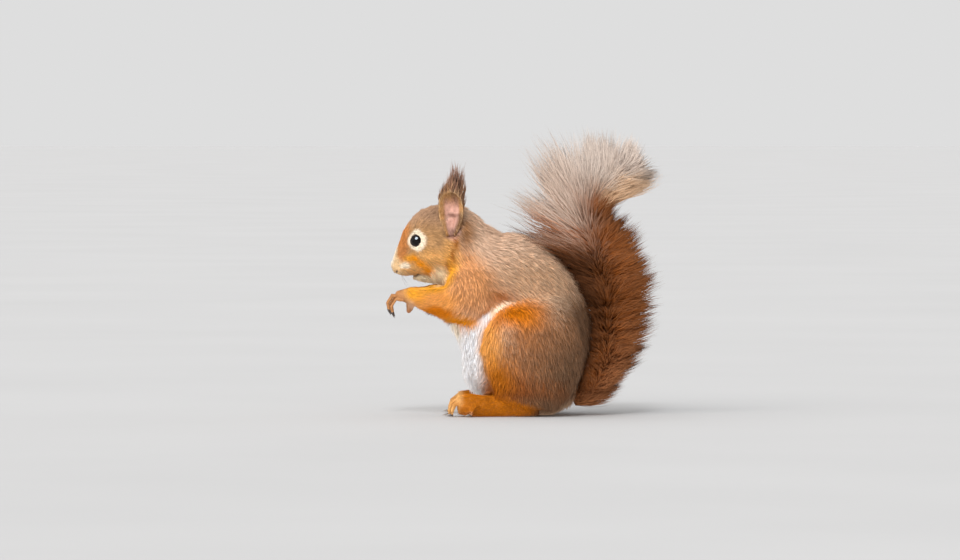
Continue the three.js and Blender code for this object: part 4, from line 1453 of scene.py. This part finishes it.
def tail_coat(points, paint):
    """For the tail's points: the same values as for the body's, and how far along the tail each is."""
    way, length, share, rearward, sideways = tail_guides(points)
    way = unit(way + drift(points, 3.6, 31) * 0.26)
    against = 0.3 * (1 - rearward) * smooth(0.56, 0.48, share) * (1 - sideways)
    uneven = (0.16 - 0.06 * smooth(0.7, 0.8, share)) * drift(points, 3, 33)[:, 0]
    root, tips = tail_colours(share, rearward, paint)
    coat = {
        "marking": root,
        "tipping": tips,
        "lie": way,
        "reach": tail_reach(points, way, length) * (1.02 + uneven + against),
        "breadth": 0.62 - 0.12 * smooth(0.5, 0.8, share),
    }
    return coat, share


def paint_skin(mesh, parts, look):
    """Gives the skin its markings, and each point the coat that grows there."""
    points, normals = points_of(mesh), normals_of(mesh)
    paint = {name: linear(getattr(look, name)) for name in PALETTE}
    coat = body_coat(points, normals, paint)
    groups = body_groups(points, parts == SKIN_PARTS.index("body"), coat["bare"])

    def lay(where, values):
        for name, value in values.items():
            coat[name][where] = value

    groups["ears"] = np.zeros(len(points))
    for name, side in SIDES.items():
        ear = parts == SKIN_PARTS.index(f"ear_{name}")
        values, groups["ears"][ear] = ear_coat(points[ear], normals[ear], side, paint)
        lay(ear, values)
        lay(parts == SKIN_PARTS.index(f"lid_{name}"), {"marking": linear(LID_COLOUR), "bare": 1.0})
    tail = parts == SKIN_PARTS.index("tail")
    values, share = tail_coat(points[tail], paint)
    lay(tail, values)
    for name, (start, end, _) in TAIL_STRETCHES.items():
        groups[name] = np.zeros(len(points))
        groups[name][tail] = (share >= start) & (share < end)
    for name in ("marking", "tipping"):
        set_attribute(mesh, name, coat[name], "FLOAT_COLOR")
    set_attribute(mesh, "bare", coat["bare"])
    set_attribute(mesh, "lie", coat["lie"], "FLOAT_VECTOR")
    for name in ("reach", "breadth"):
        set_attribute(mesh, name, coat[name] * MM)
    for name, grown in groups.items():
        set_attribute(mesh, f"grow_{name}", grown)


def unwrap(piece):
    """Unwraps the skin by its own shape, for the maps of the skin and of the coat that grows on it."""
    bpy.context.view_layer.objects.active = piece
    piece.select_set(True)
    bpy.ops.object.mode_set(mode="EDIT")
    bpy.ops.mesh.select_all(action="SELECT")
    bpy.ops.uv.smart_project(angle_limit=math.radians(MAP_ANGLE), island_margin=MAP_MARGIN)
    bpy.ops.object.mode_set(mode="OBJECT")
    piece.data.uv_layers[0].name = "OFBake"
    piece.select_set(False)


# ---------------------------------------------------------------- coat


def strand(rings, bow, thickness, curl, place, width, length):
    """The points, patch places and faces of one closed three-sided strand, tapering to its tip."""
    points, patches, faces = [], [], [(0, 2, 1)]
    for ring in range(rings):
        t = ring / rings
        half = 0.5 * width * max(0.2, math.sin(math.pi * (0.3 + 0.6 * t)))
        x = bow * math.sin(math.pi * t * 0.9)
        for a, b in ((-1, 0), (0, 1), (1, 0)):
            y = place + a * half + curl * t * t
            points.append((x + b * thickness * (1 - t), y, t * length))
            patches.append((a * 0.5, t, 0))
    points.append((bow * 0.12, place + curl, length))
    patches.append((0, 1, 0))
    for ring in range(rings):
        for side in range(3):
            a, b = 3 * ring + side, 3 * ring + (side + 1) % 3
            faces.append((a, b, b + 3, a + 3) if ring < rings - 1 else (a, b, 3 * rings))
    return points, patches, faces


def tuft_kinds(name, thickness, kinds):
    """A collection of tufts, each of a few strands, that differ in their bow and curl."""
    made = bpy.data.collections.new(name)
    for number, strands in enumerate(kinds):
        points, patches, faces = [], [], []
        for rings, bow, curl, place, width, length in strands:
            more, where, sides = strand(rings, bow, thickness, curl, place, width, length)
            faces += [tuple(len(points) + i for i in face) for face in sides]
            points += more
            patches += where
        mesh = mesh_of(name, points, faces)
        mesh.polygons.foreach_set("use_smooth", np.ones(len(faces), bool))
        set_attribute(mesh, "patch", patches, "FLOAT_VECTOR")
        made.objects.link(bpy.data.objects.new(f"{name}_{number}", mesh))
    return made


def coat_roots(wires, given):
    """Roots scattered over the skin, each with its shade, and the skin's way out at each."""
    wires.add(
        "GeometryNodeDistributePointsOnFaces",
        {"distribute_method": "RANDOM"},
        {
            "Mesh": given["Geometry"],
            "Density": given["Density"] * wires.named(given["Where"]),
            "Seed": given["Seed"],
        },
    )
    scattered = wires.last
    normal = Link(wires, scattered.outputs["Normal"])
    roots = wires.add(
        "GeometryNodeRemoveAttribute",
        {"pattern_mode": "WILDCARD"},
        {"Geometry": Link(wires, scattered.outputs["Points"]), "Name": "grow_*"},
    )
    roots = wires.store(roots, "root_normal", normal, "FLOAT_VECTOR")
    shade = wires.random("FLOAT", 0.0, 1.0, given["Seed"] + 1)
    return wires.store(roots, "shade", shade, "FLOAT"), normal


def coat_tufts(wires, given, roots, normal):
    """A tuft on each root, turned along the lie of the coat, as one real mesh."""
    shaken = wires.random("FLOAT_VECTOR", (-1, -1, -1), (1, 1, 1), given["Seed"] + 2)
    shaken = wires.vector("SCALE", shaken, given["Jitter"])
    way = wires.vector("ADD", wires.named("lie", "FLOAT_VECTOR"), shaken)
    turn = wires.add(
        "FunctionNodeAxesToRotation",
        {"primary_axis": "Z", "secondary_axis": "X"},
        {0: way, 1: normal},
    )
    spread = wires.random("FLOAT", given["Shortest"], given["Longest"], given["Seed"] + 3)
    length = wires.named("reach") * given["Length"] * spread
    width = wires.named("breadth") * wires.random("FLOAT", 0.7, 1.3, given["Seed"] + 4)
    kinds = wires.add(
        "GeometryNodeCollectionInfo",
        None,
        {"Collection": given["Tufts"], "Separate Children": True, "Reset Children": True},
    )
    tufts = wires.add(
        "GeometryNodeInstanceOnPoints",
        None,
        {
            "Points": roots,
            "Instance": kinds,
            "Pick Instance": True,
            "Instance Index": wires.random("INT", 0, given["Kinds"] - 1, given["Seed"] + 5),
            "Rotation": turn,
            "Scale": wires.add("ShaderNodeCombineXYZ", None, {0: length, 1: width, 2: length}),
        },
    )
    return wires.add("GeometryNodeRealizeInstances", None, {"Geometry": tufts})


def coat_finished(wires, given, tufts):
    """The tufts mapped at their roots, held above the floor, softly shaded, with their material."""
    patch = wires.vector("SCALE", wires.named("patch", "FLOAT_VECTOR"), given["Patch"])
    place = wires.vector("ADD", wires.named("root_map", "FLOAT_VECTOR"), patch)
    mapped = wires.store(tufts, "OFBake", place, "FLOAT2", "CORNER")
    position = wires.add("GeometryNodeInputPosition")
    raised = wires.vector("MAXIMUM", position, (-9, -9, OFF_FLOOR * MM))
    above = wires.add("GeometryNodeSetPosition", None, {"Geometry": mapped, "Position": raised})
    own = wires.add("GeometryNodeInputNormal")
    soft = wires.vector("SCALE", wires.named("root_normal", "FLOAT_VECTOR"), given["Softness"])
    softened = wires.add(
        "GeometryNodeSetMeshNormal",
        {"mode": "FREE", "domain": "POINT"},
        {"Mesh": above, "Custom Normal": wires.vector("NORMALIZE", wires.vector("ADD", own, soft))},
    )
    return wires.add(
        "GeometryNodeSetMaterial", None, {"Geometry": softened, "Material": given["Finish"]}
    )


def coat_tree():
    """The growing of a coat: roots scattered over a surface, and a tuft on each."""
    tree = bpy.data.node_groups.new("Coat", "GeometryNodeTree")
    wires = Wires(tree)
    for name, kind in COAT_INPUTS.items():
        tree.interface.new_socket(name, in_out="INPUT", socket_type=f"NodeSocket{kind}")
    tree.interface.new_socket("Geometry", in_out="OUTPUT", socket_type="NodeSocketGeometry")
    wires.add("NodeGroupInput")
    given = {s.name: Link(wires, s) for s in wires.last.outputs if s.name}
    roots, normal = coat_roots(wires, given)
    tufts = coat_tufts(wires, given, roots, normal)
    wires.add("NodeGroupOutput", None, {"Geometry": coat_finished(wires, given, tufts)})
    return tree


def set_inputs(modifier, values):
    """Fills a modifier's inputs by their identifiers."""
    for item in modifier.node_group.interface.items_tree:
        if item.item_type == "SOCKET" and item.in_out == "INPUT" and item.name in values:
            modifier[item.identifier] = values[item.name]


def grow_coat(name, skin_mesh, tree, replaced, inputs):
    """Grows one piece of the coat on the skin and shows it."""
    mesh = skin_mesh.copy()
    grower = added(f"{name}_grower", mesh)
    modifier = grower.modifiers.new("Coat", "NODES")
    modifier.node_group = tree
    set_inputs(modifier, inputs)
    depsgraph = bpy.context.evaluated_depsgraph_get()
    done = grower.evaluated_get(depsgraph)
    made = bpy.data.meshes.new_from_object(done, preserve_all_data_layers=True, depsgraph=depsgraph)
    bpy.data.objects.remove(grower)
    bpy.data.meshes.remove(mesh)
    for field in [a.name for a in made.attributes if not a.is_required]:
        if field not in COAT_FIELDS and not field.startswith("."):
            made.attributes.remove(made.attributes[field])
    made.name = name
    made.validate()
    new_piece(name, made, None, replaced)


# ---------------------------------------------------------------- settings


def colour_setting(label, rgb):
    """A colour that a user can change, from its amounts of 255."""
    return FloatVectorProperty(
        name=label,
        description=f"Colour: {label.lower()}",
        subtype="COLOR_GAMMA",
        size=3,
        min=0,
        max=1,
        default=[c / 255 for c in rgb],
    )


class SquirrelColours(bpy.types.PropertyGroup):
    """Colours of the coat and the bare skin."""

    __annotations__ = {name: colour_setting(*value) for name, value in PALETTE.items()}


class SquirrelSizes(bpy.types.PropertyGroup):
    """Sizes of the skin and the coat."""

    grain: FloatProperty(
        name="Skin grain",
        description="Size of the skin's smallest faces",
        subtype="DISTANCE",
        default=0.5 * MM,
        min=0.4 * MM,
    )
    skin_share: FloatProperty(
        name="Skin share",
        description="Share of the skin's faces that is kept",
        subtype="FACTOR",
        default=0.35,
        min=0.05,
        max=1.0,
    )
    density: FloatProperty(
        name="Coat density",
        description="Share of the full coat that is grown",
        subtype="FACTOR",
        default=1.0,
        min=0.05,
        max=1.0,
    )
    coat_length: FloatProperty(
        name="Coat length", description="Length of the coat against the usual", default=1.0, min=0.2
    )
    seed: IntProperty(name="Seed", description="Which of the many coats is grown", default=7)


def settings():
    """The sizes and the colours as they are set."""
    return bpy.context.scene.squirrel_sizes, bpy.context.scene.squirrel_colours


# ---------------------------------------------------------------- operators


class SQUIRREL_OT_skin(bpy.types.Operator):
    """Makes the skin of the whole animal, unwraps and paints it"""

    bl_idname = "squirrel.skin"
    bl_label = "Skin"

    def execute(self, context):
        sizes, look = settings()
        mesh, parts = build_skin(sizes)
        skin = new_piece("skin", mesh, skin_material(), FLESH + paired("ear"))
        unwrap(skin)
        paint_skin(mesh, parts, look)
        return {"FINISHED"}


class SQUIRREL_OT_coat(bpy.types.Operator):
    """Grows the coat over the skin, piece by piece"""

    bl_idname = "squirrel.coat"
    bl_label = "Coat"

    def execute(self, context):
        sizes, _ = settings()
        skin = bpy.data.objects["skin"].data
        grown = self.with_root_map(skin)
        tree = coat_tree()
        kinds = {name: tuft_kinds(f"{name}_tuft", *kind) for name, kind in TUFTS.items()}
        finishes = {name: coat_material(name, *look) for name, look in COAT_FINISHES.items()}
        for number, (group, row) in enumerate(COATS.items()):
            slot, kind, density, jitter, (shortest, longest) = row
            name = f"coat_{group}"
            inputs = {
                "Tufts": kinds[kind],
                "Kinds": len(kinds[kind].objects),
                "Density": density * sizes.density / MM**2,
                "Where": f"grow_{group}",
                "Jitter": jitter,
                "Shortest": shortest,
                "Longest": longest,
                "Length": sizes.coat_length,
                "Patch": PATCH_WIDTH,
                "Softness": SOFTNESS[kind],
                "Finish": finishes.get(name, finishes[slot]),
                "Seed": sizes.seed + 10 * number,
            }
            replaced = TAIL_STRETCHES[group][2] if group in TAIL_STRETCHES else ()
            grow_coat(name, grown, tree, replaced, inputs)
        self.clear_away(kinds, grown, skin)
        return {"FINISHED"}

    @staticmethod
    def with_root_map(skin):
        """A copy of the skin that also holds its map as a plain field, which the roots pick up."""
        maps = np.empty(len(skin.loops) * 2, np.float32)
        skin.uv_layers["OFBake"].uv.foreach_get("vector", maps)
        corners = np.hstack([maps.reshape(-1, 2), np.zeros((len(skin.loops), 1), np.float32)])
        grown = skin.copy()
        set_attribute(grown, "root_map", corners, "FLOAT_VECTOR", "CORNER")
        return grown

    @staticmethod
    def clear_away(kinds, grown, skin):
        """Removes the loose tufts, the copy of the skin, and the fields that only the coat read."""
        for kind in kinds.values():
            for tuft in list(kind.objects):
                bpy.data.objects.remove(tuft)
            bpy.data.collections.remove(kind)
        bpy.data.meshes.remove(grown)
        for name in [a.name for a in skin.attributes]:
            if name.startswith("grow_") or name in ("lie", "reach", "breadth", "tipping"):
                skin.attributes.remove(skin.attributes[name])


class SQUIRREL_OT_eyes(bpy.types.Operator):
    """Makes the eyeballs"""

    bl_idname = "squirrel.eyes"
    bl_label = "Eyes"

    def execute(self, context):
        material = eye_material()
        for name, side in SIDES.items():
            centre, radius = eye_centre(side)
            ball = bmesh.new()
            bmesh.ops.create_uvsphere(ball, u_segments=EYE_SIDES, v_segments=EYE_RINGS, radius=radius)
            turn = Vector(eye_axis(side)).to_track_quat("Z", "Y").to_matrix().to_4x4()
            bmesh.ops.transform(ball, matrix=Matrix.Translation(centre) @ turn, verts=ball.verts)
            mesh = bpy.data.meshes.new(f"eyeball_{name}")
            ball.to_mesh(mesh)
            ball.free()
            ball = new_piece(f"eyeball_{name}", mesh, material, [f"eye_{name}"])
            bpy.data.collections["glossy"].objects.link(ball)
        return {"FINISHED"}


def claw_shape(root, way, bend, thickness, length):
    """One claw, from inside the tip of its digit out to its point, and how far along each vertex is."""
    share = np.linspace(0, 1, len(CLAW_TAPER))
    bends = np.outer(share**2, bend)
    rows = root + np.outer(share * length - CLAW_INSIDE, way) * MM + bends * MM
    points, faces = tube(rows, np.array(CLAW_TAPER) * thickness * MM, CLAW_SIDES)
    points[:, 2] = np.maximum(points[:, 2], OFF_FLOOR * MM)
    return points, faces, np.concatenate([np.repeat(share, CLAW_SIDES), [0, 1]])


def tubes_piece(name, shapes, along, material):
    """Shows several tubes as one piece that knows how far along them each vertex is."""
    points, faces, _ = joined(shapes)
    mesh = mesh_of(name, points, faces)
    set_attribute(mesh, "along", along)
    new_piece(name, mesh, material)


class SQUIRREL_OT_claws(bpy.types.Operator):
    """Makes the curved claws of the hands and feet"""

    bl_idname = "squirrel.claws"
    bl_label = "Claws"

    def execute(self, context):
        material = claw_material()
        for limb, (_, bend, thickness, length, pale) in CLAWS.items():
            for name in SIDES:
                shapes, along = [], []
                for root, way in claw_roots_of(limb, name):
                    points, faces, share = claw_shape(root, way, bend, thickness, length)
                    shapes.append((points, faces))
                    along.append(share * pale)
                along = np.concatenate(along)
                tubes_piece(f"claws_{limb}_{name}", shapes, along, material)
        return {"FINISHED"}


class SQUIRREL_OT_whiskers(bpy.types.Operator):
    """Makes the whiskers and the bristles over the eyes"""

    bl_idname = "squirrel.whiskers"
    bl_label = "Whiskers"

    def execute(self, context):
        share = np.linspace(0, 1, WHISKER_STEPS)
        radii = (WHISKER_ROOT * (1 - share) + WHISKER_TIP) * MM
        shapes = []
        for side in SIDES.values():
            for place, way, length in WHISKERS:
                root = at(*place) * [1, side, 1]
                way = unit(np.array(way) * [1, side, 1])
                rows = np.outer(share, way) + np.outer(share**2, WHISKER_SAG)
                shapes.append(tube(root + rows * length * MM, radii, WHISKER_SIDES))
        along = np.concatenate([np.repeat(share, WHISKER_SIDES), [0, 1]])
        along = np.tile(along, len(shapes))
        tubes_piece("whiskers", shapes, along, whisker_material())
        return {"FINISHED"}


def lamp(name, way, spread, power, tint):
    """A far soft lamp, as wide as its spread in degrees, that shines along a way."""
    data = bpy.data.lights.new(name, "SUN")
    data.angle = math.radians(spread)
    data.energy = power
    data.color = tint
    light = added(name, data)
    light.rotation_euler = Vector(way).to_track_quat("-Z", "Y").to_euler()
    return light


class SQUIRREL_OT_stage(bpy.types.Operator):
    """Sets out the floor, the soft lamps and the camera"""

    bl_idname = "squirrel.stage"
    bl_label = "Stage"

    def execute(self, context):
        scene = context.scene
        scene.view_settings.view_transform = "Standard"
        self.light(scene, self.lay_floor())
        self.set_camera(scene)
        return {"FINISHED"}

    @staticmethod
    def lay_floor():
        """Lays the floor under the animal."""
        corners = [(x, y, 0) for x, y in ((-1, -1), (1, -1), (1, 1), (-1, 1))]
        mesh = mesh_of("floor", np.array(corners) * FLOOR_REACH, [(0, 1, 2, 3)])
        mesh.materials.append(floor_material())
        floor = added("floor", mesh)
        return floor

    @staticmethod
    def light(scene, floor):
        """Sets a pale sky and the lamps. The bounce passes the floor, and the glint lights the eyes."""
        world = bpy.data.worlds.new("studio")
        scene.world = world
        world.use_nodes = True
        wires = Wires(world.node_tree)
        sky = wires.add("ShaderNodeBackground", None, {"Color": SKY, "Strength": SKY_STRENGTH})
        wires.add("ShaderNodeOutputWorld", None, {"Surface": sky})
        lamps = {name: lamp(name, *row) for name, row in LAMPS.items()}
        open_floor = bpy.data.collections.new("open_floor")
        open_floor.objects.link(floor)
        open_floor.collection_objects[0].light_linking.link_state = "EXCLUDE"
        lamps["bounce"].light_linking.blocker_collection = open_floor
        lamps["glint"].visible_diffuse = False
        lamps["glint"].light_linking.receiver_collection = bpy.data.collections.new("glossy")

    @staticmethod
    def set_camera(scene):
        """Sets the camera level with the animal's left side, a little above it."""
        camera = bpy.data.cameras.new("camera")
        camera.lens = LENS
        camera.clip_start = 0.1
        camera.clip_end = FLOOR_REACH
        view = added("camera", camera)
        centre, rise = at(*VIEW_CENTRE), math.radians(VIEW_RISE)
        view.location = centre + np.array([0, -math.cos(rise), math.sin(rise)]) * VIEW_AWAY * MM
        view.rotation_euler = (Vector(centre) - view.location).to_track_quat("-Z", "Y").to_euler()
        scene.camera = view


OPERATORS = [
    SQUIRREL_OT_stage,
    SQUIRREL_OT_skin,
    SQUIRREL_OT_eyes,
    SQUIRREL_OT_claws,
    SQUIRREL_OT_whiskers,
    SQUIRREL_OT_coat,
]


class SQUIRREL_PT_panel(bpy.types.Panel):
    """Lists the pieces of the squirrel and its settings."""

    bl_idname = "SQUIRREL_PT_panel"
    bl_label = "Squirrel"
    bl_space_type = "VIEW_3D"
    bl_region_type = "UI"
    bl_category = "Squirrel"

    def draw(self, context):
        for group in (context.scene.squirrel_sizes, context.scene.squirrel_colours):
            for name in group.__annotations__:
                self.layout.prop(group, name)
        for operator in OPERATORS:
            self.layout.operator(operator.bl_idname)


CLASSES = [SquirrelColours, SquirrelSizes, *OPERATORS, SQUIRREL_PT_panel]


def register():
    """Adds the settings, the operators and the panel."""
    for cls in CLASSES:
        bpy.utils.register_class(cls)
    bpy.types.Scene.squirrel_colours = PointerProperty(type=SquirrelColours)
    bpy.types.Scene.squirrel_sizes = PointerProperty(type=SquirrelSizes)


def unregister():
    """Takes them away again."""
    del bpy.types.Scene.squirrel_sizes
    del bpy.types.Scene.squirrel_colours
    for cls in reversed(CLASSES):
        bpy.utils.unregister_class(cls)


def main():
    """Makes every piece in order."""
    register()
    for operator in OPERATORS:
        getattr(bpy.ops.squirrel, operator.bl_idname.split(".")[1])()


if __name__ == "__main__":
    main()
